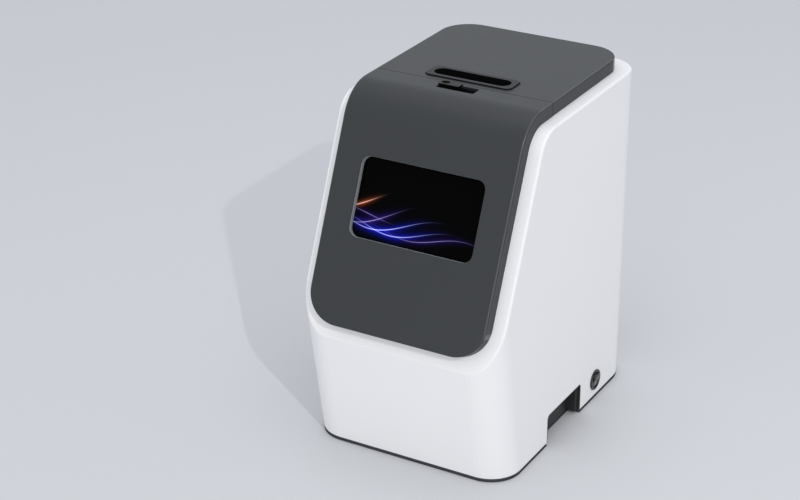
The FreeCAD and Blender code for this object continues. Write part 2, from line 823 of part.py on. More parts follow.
def chassis_plate():
    """Steel base of the drive with folded edges, on the tray's posts."""
    half = chassis_half
    low = -foot_front + shell_wall + 14
    high = body_back - shell_wall - 16
    plate = slab(-half, half, low, high, chassis_z, chassis_top, 10.0)
    for y0, y1 in ((low, low + chassis_sheet), (high - chassis_sheet, high)):
        plate = fused([plate, box(-half + 14, half - 14, y0, y1, chassis_z, chassis_top + 12)])
    for place in tray_posts:
        plate = plate.cut(rod(screw_radius + running, place + V(0, 0, chassis_z - 1), place + V(0, 0, chassis_top + 1)))
    return plate


crosshead_z = 196.0
crosshead_height = 14.0
bushing_radius = guide_radius + 6


def crosshead():
    """Waisted beam clamped on the plunger, with an eye at each guide rod."""
    centre = V(0, chamber_y, crosshead_z)
    up = V(0, 0, crosshead_height)
    pieces = [rod(plunger_radius + 9, centre, centre + up)]
    for place in guide_places:
        eye = place + V(0, 0, crosshead_z)
        pieces.append(rod(bushing_radius + 6, eye, eye + up))
    pieces.append(box(-11, 11, chamber_y - guide_offset, chamber_y + guide_offset, crosshead_z,
                      crosshead_z + crosshead_height))
    beam = fused(pieces).cut(rod(plunger_radius, centre - V(0, 0, 1), centre + up + V(0, 0, 1)))
    for place in guide_places:
        eye = place + V(0, 0, crosshead_z - 1)
        beam = beam.cut(rod(bushing_radius, eye, eye + up + V(0, 0, 2)))
    # Clamping slit beside the plunger
    return beam.cut(box(plunger_radius - 3, plunger_radius + 12, chamber_y - 1, chamber_y + 1, crosshead_z - 1,
                        crosshead_z + crosshead_height + 1))


def crosshead_bushings():
    bushings = []
    for place in guide_places:
        low = place + V(0, 0, crosshead_z - 8)
        high = place + V(0, 0, crosshead_z + crosshead_height + 8)
        sleeve = rod(bushing_radius, low, high)
        bushings.append(sleeve.cut(rod(guide_radius + running, low - V(0, 0, 1), high + V(0, 0, 1))))
    return Part.makeCompound(bushings)


carriage_z = chamber_floor_z + carriage_rise
rack_z = carriage_z + carriage_thickness
rack_top = rack_z + rack_height
cap_top = rack_top + tube_cap_height
pad_z = cap_top + seat
clamp_z = pad_z + pad_thickness
clamp_top = clamp_z + plate_thickness
knob_z = clamp_top + seat
knob_top = knob_z + knob_height
plunger_low = crankcase_top - 32


def plunger():
    """Hardened shaft from the crankcase up to the carriage, with a shoulder below it."""
    centre = V(0, chamber_y, 0)
    shaft = rod(plunger_radius, centre + V(0, 0, plunger_low), centre + V(0, 0, carriage_z))
    return shaft.makeChamfer(1.0, [e for e in shaft.Edges if e.BoundBox.ZMax < plunger_low + 1e-3])


def carriage_plate():
    half = rack_length / 2 + 6
    rise = rack_width / 2 + 6
    plate = slab(-half, half, chamber_y - rise, chamber_y + rise, carriage_z, rack_z, 14.0)
    plate = plate.makeChamfer(1.0, [e for e in plate.Edges if e.BoundBox.ZMax < carriage_z + 1e-3])
    # A raised edge locates the rack
    rail = slab(-half, half, chamber_y - rise, chamber_y + rise, rack_z - 0.5, rack_z + 5, 14.0)
    gap = fit_gap / 2
    rail = rail.cut(slab(-rack_length / 2 - gap, rack_length / 2 + gap, chamber_y - rack_width / 2 - gap,
                         chamber_y + rack_width / 2 + gap, rack_z - 1, rack_z + 6, 8.0 + gap))
    plate = fused([plate, rail])
    return plate.cut(rod(stud_radius, V(0, chamber_y, carriage_z + 4), V(0, chamber_y, rack_z + 1)))


def tube_places():
    for column in range(tube_columns):
        for row in range(tube_rows):
            x = (column - (tube_columns - 1) / 2) * tube_pitch
            y = chamber_y + (row - (tube_rows - 1) / 2) * tube_pitch
            yield V(x, y, 0)


def tube_rack():
    half = rack_length / 2
    rise = rack_width / 2
    rack = slab(-half, half, chamber_y - rise, chamber_y + rise, rack_z, rack_top, 8.0)
    rack = rack.makeChamfer(1.2, [e for e in rack.Edges if e.BoundBox.ZMin > rack_top - 1e-3])
    # Grooves for the fingers along both ends
    for side in (-1, 1):
        groove = rod(5.0, V(side * (half + 1.5), chamber_y - rise + 16, rack_top - 14),
                     V(side * (half + 1.5), chamber_y + rise - 16, rack_top - 14))
        rack = rack.cut(groove)
    holes = [rod(tube_radius + 0.2, place + V(0, 0, rack_z + 2), place + V(0, 0, rack_top + 1))
             for place in tube_places()]
    holes.append(rod(stud_radius + fit_gap, V(0, chamber_y, rack_z - 1), V(0, chamber_y, rack_top + 1)))
    return rack.cut(Part.makeCompound(holes))


def sample_tubes():
    """Screw-cap tubes with conical ends, one in every hole of the rack."""
    low = rack_z + 2.2
    profile = [V(0, 0, low), V(1.6, 0, low), V(tube_radius, 0, low + 10), V(tube_radius, 0, rack_top),
               V(tube_cap_radius, 0, rack_top), V(tube_cap_radius, 0, cap_top), V(0, 0, cap_top)]
    face = outline(profile, [0, 0, 0, 0, 0, 1.2, 0])
    tube = face.revolve(V(0, 0, 0), V(0, 0, 1), 360)
    tubes = []
    for place in tube_places():
        one = tube.copy()
        one.translate(place)
        tubes.append(one)
    return Part.makeCompound(tubes)


def clamp_stud():
    low = V(0, chamber_y, carriage_z + 4)
    stud = rod(stud_radius, low, V(0, chamber_y, knob_top + 4))
    return stud.makeChamfer(1.0, [e for e in stud.Edges if e.BoundBox.ZMin > knob_top + 3])


def clamp_plate():
    """Pressing plate over the tube caps, ribbed along its top."""
    half = rack_length / 2 - 4
    rise = rack_width / 2 - 4
    plate = slab(-half, half, chamber_y - rise, chamber_y + rise, clamp_z, clamp_top, 10.0)
    plate = plate.makeFillet(1.5, [e for e in plate.Edges if e.BoundBox.ZMin > clamp_top - 1e-3])
    windows = []
    for side in (-1, 1):
        for way in (-1, 1):
            x0, x1 = sorted((side * 34, side * (half - 8)))
            y0, y1 = sorted((chamber_y + way * 8, chamber_y + way * (rise - 8)))
            windows.append(slab(x0, x1, y0, y1, clamp_z - 1, clamp_top + 1, 5.0))
    bore = rod(stud_radius + running, V(0, chamber_y, clamp_z - 1), V(0, chamber_y, clamp_top + 1))
    return plate.cut(Part.makeCompound(windows)).cut(bore)


def clamp_pad():
    """Rubber sheet under the pressing plate."""
    half = rack_length / 2 - 6
    rise = rack_width / 2 - 6
    pad = slab(-half, half, chamber_y - rise, chamber_y + rise, pad_z, clamp_z, 9.0)
    return pad.cut(rod(stud_radius + fit_gap, V(0, chamber_y, pad_z - 1), V(0, chamber_y, clamp_z + 1)))


def clamp_knob():
    """Lobed hand knob on the threaded stud."""
    centre = V(0, chamber_y, knob_z)
    hub = rod(knob_radius * 0.62, centre, centre + V(0, 0, knob_height))
    disc = rod(knob_radius, centre + V(0, 0, 4), centre + V(0, 0, knob_height))
    for lobe in range(knob_lobes):
        angle = 2 * math.pi * lobe / knob_lobes
        at = centre + V(math.cos(angle), math.sin(angle), 0) * (knob_radius + 4.5)
        disc = disc.cut(rod(8.5, at, at + V(0, 0, knob_height + 1)))
    knob = fused([hub, disc])
    rims = [e for e in knob.Edges if e.BoundBox.ZMin > knob_top - 1e-3]
    knob = knob.makeFillet(1.5, rims)
    return knob.cut(rod(stud_radius + running, centre - V(0, 0, 1), centre + V(0, 0, knob_height + 1)))


crank_low = chamber_y - crankcase_length / 2
crank_high = chamber_y + crankcase_length / 2


def crankcase():
    """Closed cast case with feet, ribs, a bearing boss and the bore that guides the plunger."""
    half = crankcase_half
    body = slab(-half, half, crank_low, crank_high, chassis_top, crankcase_top, 10.0)
    top_edges = [e for e in body.Edges if e.BoundBox.ZMin > crankcase_top - 1e-3]
    body = body.makeFillet(6.0, top_edges)
    pieces = [body, slab(-half - 14, half + 14, crank_low + 4, crank_high - 4, chassis_top, chassis_top + 8, 8.0)]
    for y in (chamber_y - 28, chamber_y, chamber_y + 28):
        for side in (-1, 1):
            if side > 0 and y == chamber_y:
                continue
            profile = [V(side * (half - 1), y - 2.5, chassis_top), V(side * (half + 12), y - 2.5, chassis_top),
                       V(side * (half - 1), y - 2.5, chassis_top + 60)]
            pieces.append(outline(profile, [0, 0, 0]).extrude(V(0, 5, 0)))
    centre = V(0, chamber_y, 0)
    pieces.append(rod(plunger_radius + 9, centre + V(0, 0, crankcase_top - 2), centre + V(0, 0, crankcase_top + 10)))
    pieces.append(rod(drive_shaft_radius + 12, V(half - 2, chamber_y, axle_z), V(half + 7, chamber_y, axle_z)))
    case = fused(pieces)
    case = case.cut(rod(plunger_radius + running, centre + V(0, 0, plunger_low - stroke - 3),
                        centre + V(0, 0, crankcase_top + 11)))
    return case.cut(rod(drive_shaft_radius + running, V(4, chamber_y, axle_z), V(half + 8, chamber_y, axle_z)))


def pulley(teeth, bore, y):
    """Toothed pulley with two flanges and a hub, on a level axis across the width."""
    pitch_radius = teeth * belt_pitch / (2 * math.pi)
    outer = pitch_radius - 0.6
    x0 = belt_x - belt_width / 2 - 1
    x1 = belt_x + belt_width / 2 + 1
    wheel = rod(outer, V(x0, y, axle_z), V(x1, y, axle_z))
    gaps = []
    for tooth in range(teeth):
        angle = 2 * math.pi * tooth / teeth
        at = V(x0 - 1, y + math.cos(angle) * outer, axle_z + math.sin(angle) * outer)
        gaps.append(rod(tooth_depth / 2 + 0.2, at, at + V(x1 - x0 + 2, 0, 0)))
    wheel = wheel.cut(Part.makeCompound(gaps))
    flanges = [rod(outer + belt_thickness + 1, V(x, y, axle_z), V(x + 1.2, y, axle_z)) for x in (x0 - 1.2, x1)]
    hub = rod(bore + 5, V(x0 - 4, y, axle_z), V(x1 + 6, y, axle_z))
    whole = fused([wheel] + flanges + [hub])
    return whole.cut(rod(bore, V(x0 - 10, y, axle_z), V(x1 + 10, y, axle_z)))


def belt_radius(teeth):
    return teeth * belt_pitch / (2 * math.pi) - 0.6 + seat / 2


def timing_belt():
    """Closed belt round both pulleys: two arcs and the two straight runs tangent to them."""
    small = belt_radius(motor_teeth)
    large = belt_radius(drive_teeth)
    span = chamber_y - motor_y
    lean = math.asin((large - small) / span)
    x0 = belt_x - belt_width / 2

    def loop(grow):
        near = V(x0, motor_y, axle_z)
        far = V(x0, chamber_y, axle_z)
        up = V(0, -math.sin(lean), math.cos(lean))
        down = V(0, -math.sin(lean), -math.cos(lean))
        a, b = near + up * (small + grow), far + up * (large + grow)
        c, d = far + down * (large + grow), near + down * (small + grow)
        edges = [Part.LineSegment(a, b).toShape(), Part.Arc(b, far + V(0, large + grow, 0), c).toShape(),
                 Part.LineSegment(c, d).toShape(), Part.Arc(d, near - V(0, small + grow, 0), a).toShape()]
        return Part.Face(Part.Wire(edges)).extrude(V(belt_width, 0, 0))

    return loop(belt_thickness).cut(loop(0))


motor_face = belt_x - belt_width / 2 - 8
mount_sheet = 5.0


def motor():
    """Finned motor with a square front flange, end bell and terminal box."""
    front = motor_face - mount_sheet
    back = front - motor_length
    at = V(0, motor_y, axle_z)
    body = rod(motor_radius - 3, at + V(back, 0, 0), at + V(front - 6, 0, 0))
    fins = [rod(motor_radius, at + V(back + 16 + 9 * fin, 0, 0), at + V(back + 20 + 9 * fin, 0, 0))
            for fin in range(8)]
    side = motor_radius + 2
    flange = outline([V(front - 8, motor_y - side, axle_z - side), V(front - 8, motor_y + side, axle_z - side),
                      V(front - 8, motor_y + side, axle_z + side), V(front - 8, motor_y - side, axle_z + side)],
                     [8.0] * 4).extrude(V(8, 0, 0))
    bell = rod(motor_radius - 1, at + V(back, 0, 0), at + V(back + 10, 0, 0))
    bell = bell.makeFillet(4.0, [e for e in bell.Edges if e.BoundBox.XMax < back + 1e-3])
    near, far = motor_terminal
    terminal = slab(back + near, back + far, motor_y - motor_terminal_half, motor_y + motor_terminal_half,
                    axle_z + motor_radius - 6, axle_z + motor_radius + motor_terminal_height, 4.0)
    whole = fused([body, flange, bell, terminal] + fins)
    return whole.cut(rod(motor_shaft_radius + running, at + V(front - motor_bore_depth, 0, 0), at + V(front + 1, 0, 0)))


def motor_bracket():
    """Folded angle with two gussets that holds the motor by its flange."""
    side = motor_radius + 8
    x1 = motor_face
    x0 = x1 - mount_sheet
    plate = box(x0, x1, motor_y - side, motor_y + side, chassis_top, axle_z + side)
    plate = plate.cut(rod(motor_shaft_radius + 14, V(x0 - 1, motor_y, axle_z), V(x1 + 1, motor_y, axle_z)))
    foot = box(x0 - 60, x1, motor_y - side, motor_y + side, chassis_top, chassis_top + mount_sheet)
    gussets = []
    for y in (motor_y - side, motor_y + side - 4):
        profile = [V(x0 + 1, y, chassis_top), V(x0 - 56, y, chassis_top), V(x0 - 56, y, chassis_top + 10),
                   V(x0 + 1, y, axle_z + 20)]
        gussets.append(outline(profile, [0, 0, 0, 0]).extrude(V(0, 4, 0)))
    bracket = fused([plate, foot] + gussets)
    for place in motor_screw_places():
        bracket = bracket.cut(rod(screw_radius + 0.6, place - V(mount_sheet + 1, 0, 0), place + V(1, 0, 0)))
    return bracket


def motor_screw_places():
    reach = motor_radius - 4
    return [V(motor_face, motor_y + a * reach, axle_z + b * reach) for a in (-1, 1) for b in (-1, 1)]


def motor_screws():
    """Cap screws through the bracket, ending at the motor's flange."""
    screws = []
    for place in motor_screw_places():
        head = rod(3.8, place, place + V(3, 0, 0))
        shank = rod(screw_radius + 0.5, place - V(mount_sheet, 0, 0), place + V(0.1, 0, 0))
        screws.append(head.fuse(shank).removeSplitter())
    return Part.makeCompound(screws)


def motor_shaft():
    front = motor_face - mount_sheet
    return rod(motor_shaft_radius, V(front - motor_bore_depth + 2, motor_y, axle_z), V(belt_x + belt_width / 2 + 7, motor_y, axle_z))


def drive_shaft():
    return rod(drive_shaft_radius, V(6, chamber_y, axle_z), V(belt_x + belt_width / 2 + 7, chamber_y, axle_z))


def power_supply():
    """Vented steel case beside the crankcase."""
    x0 = -grip_inner + supply_margin
    x1 = -crankcase_half - supply_gap
    y0 = chamber_front + supply_inset[0]
    y1 = chamber_back - supply_inset[1]
    top = chassis_top + supply_height
    case = box(x0, x1, y0, y1, chassis_top, top)
    case = case.makeFillet(1.5, [e for e in case.Edges if e.BoundBox.ZMax > chassis_top + 1])
    case = case.cut(box(x0 + sheet, x1 - sheet, y0 + sheet, y1 - sheet, chassis_top - 1, top - sheet))
    slots = []
    for row in range(4):
        for column in range(6):
            y = y0 + 16 + column * 17
            z = chassis_top + 30 + row * 20
            slots.append(box(x1 - sheet - 1, x1 + 1, y, y + 10, z, z + 3))
    return case.cut(Part.makeCompound(slots))


def base_tray():
    """Dark tray under the housing: floor, upstand inside the shell, posts, and cut-outs at the grips."""
    tray = plan_slab(-tray_inset, foot_height, shell_gap)
    upstand = plan_slab(-shell_wall - fit_gap, shell_gap - 0.5, tray_top)
    upstand = upstand.cut(plan_slab(-shell_wall - fit_gap - upstand_wall, shell_gap - 1, tray_top + 1))
    pieces = [tray, upstand]
    for place in tray_screws:
        pieces.append(rod(boss_radius - fit_gap, place + V(0, 0, shell_gap - 0.5), place + V(0, 0, tray_top)))
    for place in tray_posts:
        pieces.append(rod(8.0, place + V(0, 0, shell_gap - 0.5), place + V(0, 0, chassis_z)))
    tray = fused(pieces)
    for place in tray_screws:
        tray = tray.cut(rod(screw_radius + running, place, place + V(0, 0, tray_top + 1)))
        tray = tray.cut(rod(4.2, place, place + V(0, 0, foot_height + 2.4)))
    for side in (-1, 1):
        x0, x1 = sorted((side * (half_width - grip_depth - grip_wall - seat), side * (half_width + 1)))
        for grow, low in ((0, 0), (grip_border + fit_gap, shell_gap)):
            tray = tray.cut(box(x0, x1, grip_y - grip_half - grow, grip_y + grip_half + grow, low, tray_top + 1))
    for place in foot_places:
        tray = tray.cut(rod(foot_radius + seat, place, place + V(0, 0, foot_height + 1)))
    return tray


foot_places = [V(side * (half_width - 38), y, 0) for side in (-1, 1) for y in (-foot_front + 36, body_back - 36)]


def rubber_feet():
    feet = []
    for place in foot_places:
        foot = rod(foot_radius, place, place + V(0, 0, foot_height + 1))
        feet.append(foot.makeFillet(0.5, [e for e in foot.Edges if e.BoundBox.ZMax < 1e-3]))
    return Part.makeCompound(feet)


def base_screws():
    screws = []
    for place in tray_screws:
        low = foot_height + 0.4
        head = rod(3.8, place + V(0, 0, low), place + V(0, 0, foot_height + 2.4))
        shank = rod(screw_radius, place + V(0, 0, foot_height + 2.3), place + V(0, 0, tray_top + 16))
        screws.append(head.fuse(shank).removeSplitter())
    return Part.makeCompound(screws)


def grip_liner(side):
    """Dark cup in the side wall: lip through the wall, flange behind it, and the finger pocket."""
    low = shell_gap
    deep = grip_depth
    lip = grip_prism(side, seat, seat, low, seat, shell_wall + 0.5)
    lip = lip.cut(grip_prism(side, grip_lip + seat, grip_lip + seat, low - 1, 0, shell_wall + 1))
    flange = grip_prism(side, -grip_border, -grip_border, low, shell_wall, shell_wall + grip_wall)
    cup = grip_prism(side, grip_flange_side - grip_wall, grip_flange_top - grip_wall, low, shell_wall + 0.5, deep + grip_wall)
    whole = fused([lip, flange, cup])
    return whole.cut(grip_prism(side, grip_flange_side, grip_flange_top, low - 1, shell_wall - 1, deep))


switch_centre = V(half_width, switch_y, shell_gap + switch_rise)


def switch_bezel():
    """Round switch: rim on the side face, body through the wall, and the well for the rocker."""
    centre = switch_centre
    rim = rod(switch_radius, centre, centre + V(switch_rim, 0, 0))
    rim = rim.makeFillet(0.8, [e for e in rim.Edges if e.BoundBox.XMin > half_width + switch_rim - 1e-3])
    body = rod(switch_body_radius, centre - V(switch_body_depth, 0, 0), centre + V(0.2, 0, 0))
    whole = fused([rim, body])
    half = rocker_width / 2 + seat
    low = centre - V(switch_well_depth, 0, 0)
    well = rod(switch_well_radius, low, centre + V(switch_rim + 1, 0, 0))
    cheeks = box(low.x - 1, centre.x + switch_rim + 2, switch_y - half, switch_y + half,
                 centre.z - switch_radius, centre.z + switch_radius)
    whole = whole.cut(well.common(cheeks)).cut(rocker_pins(running))
    for y in (-blade_spacing, 0, blade_spacing):
        blade = box(half_width - switch_body_depth - 7, half_width - switch_body_depth + 0.2, switch_y + y - 0.4,
                    switch_y + y + 0.4, centre.z - 2.4, centre.z + 2.4)
        whole = whole.fuse(blade)
    return whole.removeSplitter()


def rocker_pins(grow):
    """Pin across the rocker on its pivot line, grown for its bores."""
    reach = rocker_width / 2 + pivot_length + grow
    at = switch_centre - V(pivot_depth, 0, 0)
    return rod(pivot_radius + grow, at - V(0, reach, 0), at + V(0, reach, 0))


def switch_rocker():
    """Round two-sided rocker with a pin at each side, shown with its upper half out."""
    pivot = switch_centre - V(pivot_depth, 0, 0)
    lean = math.radians(rocker_tilt)
    out = V(math.cos(lean), 0, -math.sin(lean))
    up = V(math.sin(lean), 0, math.cos(lean))
    side = pivot - V(0, rocker_width / 2, 0)
    reach = rocker_radius + 1
    face = rocker_face
    profile = [(-3.0, -4.0), (face - 3.0, -reach), (face, -reach), (face - rocker_hollow, 0), (face, reach),
               (face - 3.0, reach), (-3.0, 4.0)]
    form = outline([side + out * dx + up * dz for dx, dz in profile], [1.5, 0, 0, 20.0, 0, 0, 1.5])
    body = form.extrude(V(0, rocker_width, 0))
    body = body.common(rod(rocker_radius, pivot - out * 5, pivot + out * (face + 1)))
    return fused([body, rocker_pins(0)])


def rear_panel():
    """Back panel with fan slots, the inlet's cut-out and countersunk corners."""
    y0 = body_back - panel_sheet
    panel = back_plate(panel_half, panel_low, panel_high, panel_corner, y0, body_back)
    slots = []
    reach = fan_size / 2 - 5
    for row in range(-4, 5):
        rise = row * 8.0
        half = math.sqrt(reach * reach - rise * rise) - 2
        points = [V(fan_x - half, y0 - 1, fan_z + rise - 2), V(fan_x + half, y0 - 1, fan_z + rise - 2),
                  V(fan_x + half, y0 - 1, fan_z + rise + 2), V(fan_x - half, y0 - 1, fan_z + rise + 2)]
        slots.append(outline(points, [1.9] * 4).extrude(V(0, panel_sheet + 2, 0)))
    panel = panel.cut(Part.makeCompound(slots))
    half = inlet_length / 2 + 2 + fit_gap
    rise = inlet_width / 2 + 2 + fit_gap
    panel = panel.cut(box(inlet_x - half, inlet_x + half, y0 - 1, body_back + 1, inlet_z - rise, inlet_z + rise))
    for place in panel_screw_places():
        panel = panel.cut(rod(screw_radius + running, place - V(0, panel_sheet + 1, 0), place + V(0, 1, 0)))
        panel = panel.cut(Part.makeCone(screw_radius + running, 3.6, 1.6, place - V(0, 1.6, 0), V(0, 1, 0)))
    return panel


def panel_screw_places():
    reach = panel_half - panel_border / 2 - 0.5
    heights = (panel_low + 14, (panel_low + panel_high) / 2, panel_high - 14)
    return [V(side * reach, body_back, z) for side in (-1, 1) for z in heights]


def rear_panel_screws():
    """Countersunk screws that end inside the housing's step."""
    screws = []
    for place in panel_screw_places():
        head = Part.makeCone(screw_radius, 3.5, 1.55, place - V(0, 1.6, 0), V(0, 1, 0))
        shank = rod(screw_radius, place - V(0, panel_sheet, 0), place - V(0, 1.55, 0))
        screws.append(head.fuse(shank).removeSplitter())
    return Part.makeCompound(screws)


def inlet_outline(grow, y, cut):
    """Appliance inlet shape: a rectangle with its two lower corners cut off."""
    half = inlet_length / 2 + grow
    rise = inlet_width / 2 + grow
    points = [V(inlet_x - half + cut, y, inlet_z - rise), V(inlet_x + half - cut, y, inlet_z - rise),
              V(inlet_x + half, y, inlet_z - rise + cut), V(inlet_x + half, y, inlet_z + rise),
              V(inlet_x - half, y, inlet_z + rise), V(inlet_x - half, y, inlet_z - rise + cut)]
    return outline(points, [0.8] * 6)


def power_inlet():
    flange_points = [V(inlet_x - 25, body_back, inlet_z - 13), V(inlet_x + 25, body_back, inlet_z - 13),
                     V(inlet_x + 25, body_back, inlet_z + 13), V(inlet_x - 25, body_back, inlet_z + 13)]
    flange = outline(flange_points, [4.0] * 4).extrude(V(0, 2.0, 0))
    body = inlet_outline(2.0, body_back - 24, 3.0).extrude(V(0, 24.2, 0))
    whole = fused([flange, body])
    return whole.cut(inlet_outline(0, body_back + 2.0 - inlet_depth, 4.0).extrude(V(0, inlet_depth + 1, 0)))


def inlet_contacts():
    blades = []
    for dx, dz in ((-7.0, 2.0), (7.0, 2.0), (0.0, -2.5)):
        blades.append(box(inlet_x + dx - 1.0, inlet_x + dx + 1.0, body_back + 2.0 - inlet_depth,
                          body_back - 1.0, inlet_z + dz - 2.0, inlet_z + dz + 2.0))
    return Part.makeCompound(blades)


def fan_frame():
    """Square fan frame with a round duct, four struts and the motor hub."""
    y1 = body_back - panel_sheet
    y0 = y1 - fan_thickness
    half = fan_size / 2
    points = [V(fan_x - half, y0, fan_z - half), V(fan_x + half, y0, fan_z - half),
              V(fan_x + half, y0, fan_z + half), V(fan_x - half, y0, fan_z + half)]
    frame = outline(points, [5.0] * 4).extrude(V(0, fan_thickness, 0))
    centre = V(fan_x, 0, fan_z)
    frame = frame.cut(rod(half - 1.5, centre + V(0, y0 - 1, 0), centre + V(0, y1 + 1, 0)))
    waist = rod(half + 20, centre + V(0, y0 + 4, 0), centre + V(0, y1 - 4, 0))
    waist = waist.cut(rod(half + 0.5, centre + V(0, y0 + 3, 0), centre + V(0, y1 - 3, 0)))
    frame = frame.cut(waist)
    hub = rod(14, centre + V(0, y0, 0), centre + V(0, y0 + 4, 0))
    pieces = [frame, hub, rod(1.5, centre + V(0, y0 + 3, 0), centre + V(0, y0 + 14, 0))]
    for spoke in range(4):
        strut = box(fan_x + 12, fan_x + half - 0.5, y0, y0 + 3, fan_z - 2, fan_z + 2)
        strut.rotate(centre, V(0, 1, 0), 45 + 90 * spoke)
        pieces.append(strut)
    return fused(pieces)


def fan_impeller():
    """Hub and twisted blades, each lofted between a root and a tip section."""
    y1 = body_back - panel_sheet - 2.0
    y0 = y1 - fan_thickness + 7.0
    centre = V(fan_x, 0, fan_z)
    hub_radius = 15.0
    hub = rod(hub_radius, centre + V(0, y0, 0), centre + V(0, y1, 0))
    hub = hub.makeFillet(1.5, [e for e in hub.Edges if e.BoundBox.YMin > y1 - 1e-3])
    middle = (y0 + y1) / 2
    sections = []
    for radius, pitch, chord in ((hub_radius - 2, 52, 17.0), (fan_size / 2 - 3.5, 28, 20.0)):
        lean = math.radians(pitch)
        along = V(math.cos(lean), math.sin(lean), 0) * (chord / 2)
        thick = V(-math.sin(lean), math.cos(lean), 0) * 0.8
        at = V(fan_x, middle, fan_z + radius)
        corners = [at - along - thick, at + along - thick, at + along + thick, at - along + thick]
        sections.append(Part.makePolygon(corners + [corners[0]]))
    blade = Part.makeLoft(sections, True, True)
    blade = blade.common(rod(fan_size / 2 - 2.5, centre + V(0, y0 + 0.5, 0), centre + V(0, y1 - 0.5, 0)))
    pieces = [hub]
    for index in range(fan_blades):
        one = blade.copy()
        one.rotate(centre, V(0, 1, 0), 360.0 * index / fan_blades)
        pieces.append(one)
    return fused(pieces).cut(rod(1.5 + running, centre + V(0, y0 - 1, 0), centre + V(0, y0 + 9, 0)))


nodes = {
    "housing_shell": housing_shell, "base_tray": base_tray, "rubber_feet": rubber_feet,
    "base_screws": base_screws, "grip_liner_left": lambda: grip_liner(-1),
    "grip_liner_right": lambda: grip_liner(1), "front_cover": front_cover,
    "display_glass": display_glass, "display_module": display_module,
    "display_bracket": display_bracket, "display_screws": display_screws,
    "control_board": control_board, "latch_guide": latch_guide, "latch_slider": latch_slider,
    "lid_shell": lid_shell, "lid_pull_insert": lid_pull_insert, "lid_inner": lid_inner,
    "lid_seal": lid_seal, "lid_striker": lid_striker, "lid_hinge_arms": lid_hinge_arms,
    "hinge_brackets": hinge_brackets, "hinge_pins": hinge_pins, "chamber_liner": chamber_liner,
    "shaft_seal": shaft_seal, "deck_plate": deck_plate, "deck_bushing": deck_bushing,
    "deck_columns": deck_columns, "deck_screws": deck_screws, "guide_rods": guide_rods,
    "chassis_plate": chassis_plate, "crankcase": crankcase, "plunger": plunger,
    "crosshead": crosshead, "crosshead_bushings": crosshead_bushings,
    "carriage_plate": carriage_plate, "tube_rack": tube_rack, "sample_tubes": sample_tubes,
    "clamp_stud": clamp_stud, "clamp_pad": clamp_pad, "clamp_plate": clamp_plate,
    "clamp_knob": clamp_knob, "motor": motor, "motor_bracket": motor_bracket,
    "motor_screws": motor_screws, "motor_shaft": motor_shaft, "drive_shaft": drive_shaft,
    "motor_pulley": lambda: pulley(motor_teeth, motor_shaft_radius, motor_y),
    "drive_pulley": lambda: pulley(drive_teeth, drive_shaft_radius, chamber_y),
    "timing_belt": timing_belt, "power_supply": power_supply, "switch_bezel": switch_bezel,
    "switch_rocker": switch_rocker, "rear_panel": rear_panel,
    "rear_panel_screws": rear_panel_screws, "power_inlet": power_inlet,
    "inlet_contacts": inlet_contacts, "fan_frame": fan_frame, "fan_impeller": fan_impeller,
}

for node, make in nodes.items():
    save(node, make())
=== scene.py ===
"""Looks of the laboratory grinder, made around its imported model."""

import json
import logging
import math
from collections.abc import Iterable, Sequence
from dataclasses import dataclass
from enum import Enum

import bmesh
import bpy
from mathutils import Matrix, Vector


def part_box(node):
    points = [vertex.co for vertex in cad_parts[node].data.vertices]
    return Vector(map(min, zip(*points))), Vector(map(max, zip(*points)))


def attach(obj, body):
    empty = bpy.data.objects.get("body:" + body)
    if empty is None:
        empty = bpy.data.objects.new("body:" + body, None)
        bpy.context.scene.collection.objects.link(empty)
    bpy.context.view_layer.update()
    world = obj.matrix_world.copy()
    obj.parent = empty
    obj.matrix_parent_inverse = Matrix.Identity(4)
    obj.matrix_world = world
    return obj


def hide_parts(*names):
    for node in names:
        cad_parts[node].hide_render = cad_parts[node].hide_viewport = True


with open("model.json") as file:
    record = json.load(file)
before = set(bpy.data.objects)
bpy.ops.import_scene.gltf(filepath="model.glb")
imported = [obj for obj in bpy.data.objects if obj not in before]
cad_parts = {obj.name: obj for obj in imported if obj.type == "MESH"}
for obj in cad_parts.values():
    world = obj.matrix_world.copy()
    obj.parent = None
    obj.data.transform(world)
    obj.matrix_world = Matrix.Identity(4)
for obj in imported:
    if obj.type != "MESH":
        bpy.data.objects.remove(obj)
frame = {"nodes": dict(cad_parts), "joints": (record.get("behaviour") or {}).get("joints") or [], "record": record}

Colour = tuple[float, float, float]
Point = tuple[float, float, float]
Spot = tuple[float, float]

MM = 0.001
UP = Vector((0, 0, 1))
log = logging.getLogger("grinder")


class Wire:
    """A shader value that stands in Python sums, which add the Math nodes they need."""

    def __init__(self, board: "Board", socket: bpy.types.NodeSocket) -> None:
        """Keeps the socket.

        Args:
            board: the material that the socket belongs to.
            socket: an output socket of one of its nodes.
        """
        self.board = board
        self.socket = socket

    def __add__(self, other: "Feed") -> "Wire":
        """Sum with a wire or a number."""
        return self.board.sum("ADD", self, other)

    __radd__ = __add__

    def __sub__(self, other: "Feed") -> "Wire":
        """Difference, this minus the other."""
        return self.board.sum("SUBTRACT", self, other)

    def __rsub__(self, other: "Feed") -> "Wire":
        """Difference, the other minus this."""
        return self.board.sum("SUBTRACT", other, self)

    def __mul__(self, other: "Feed") -> "Wire":
        """Product with a wire or a number."""
        return self.board.sum("MULTIPLY", self, other)

    __rmul__ = __mul__

    def __truediv__(self, other: "Feed") -> "Wire":
        """Quotient, this over the other."""
        return self.board.sum("DIVIDE", self, other)

    def __pow__(self, other: "Feed") -> "Wire":
        """Power, this raised to the other."""
        return self.board.sum("POWER", self, other)

    def __abs__(self) -> "Wire":
        """Distance from nought."""
        return self.board.sum("ABSOLUTE", self)


Feed = Wire | float | int


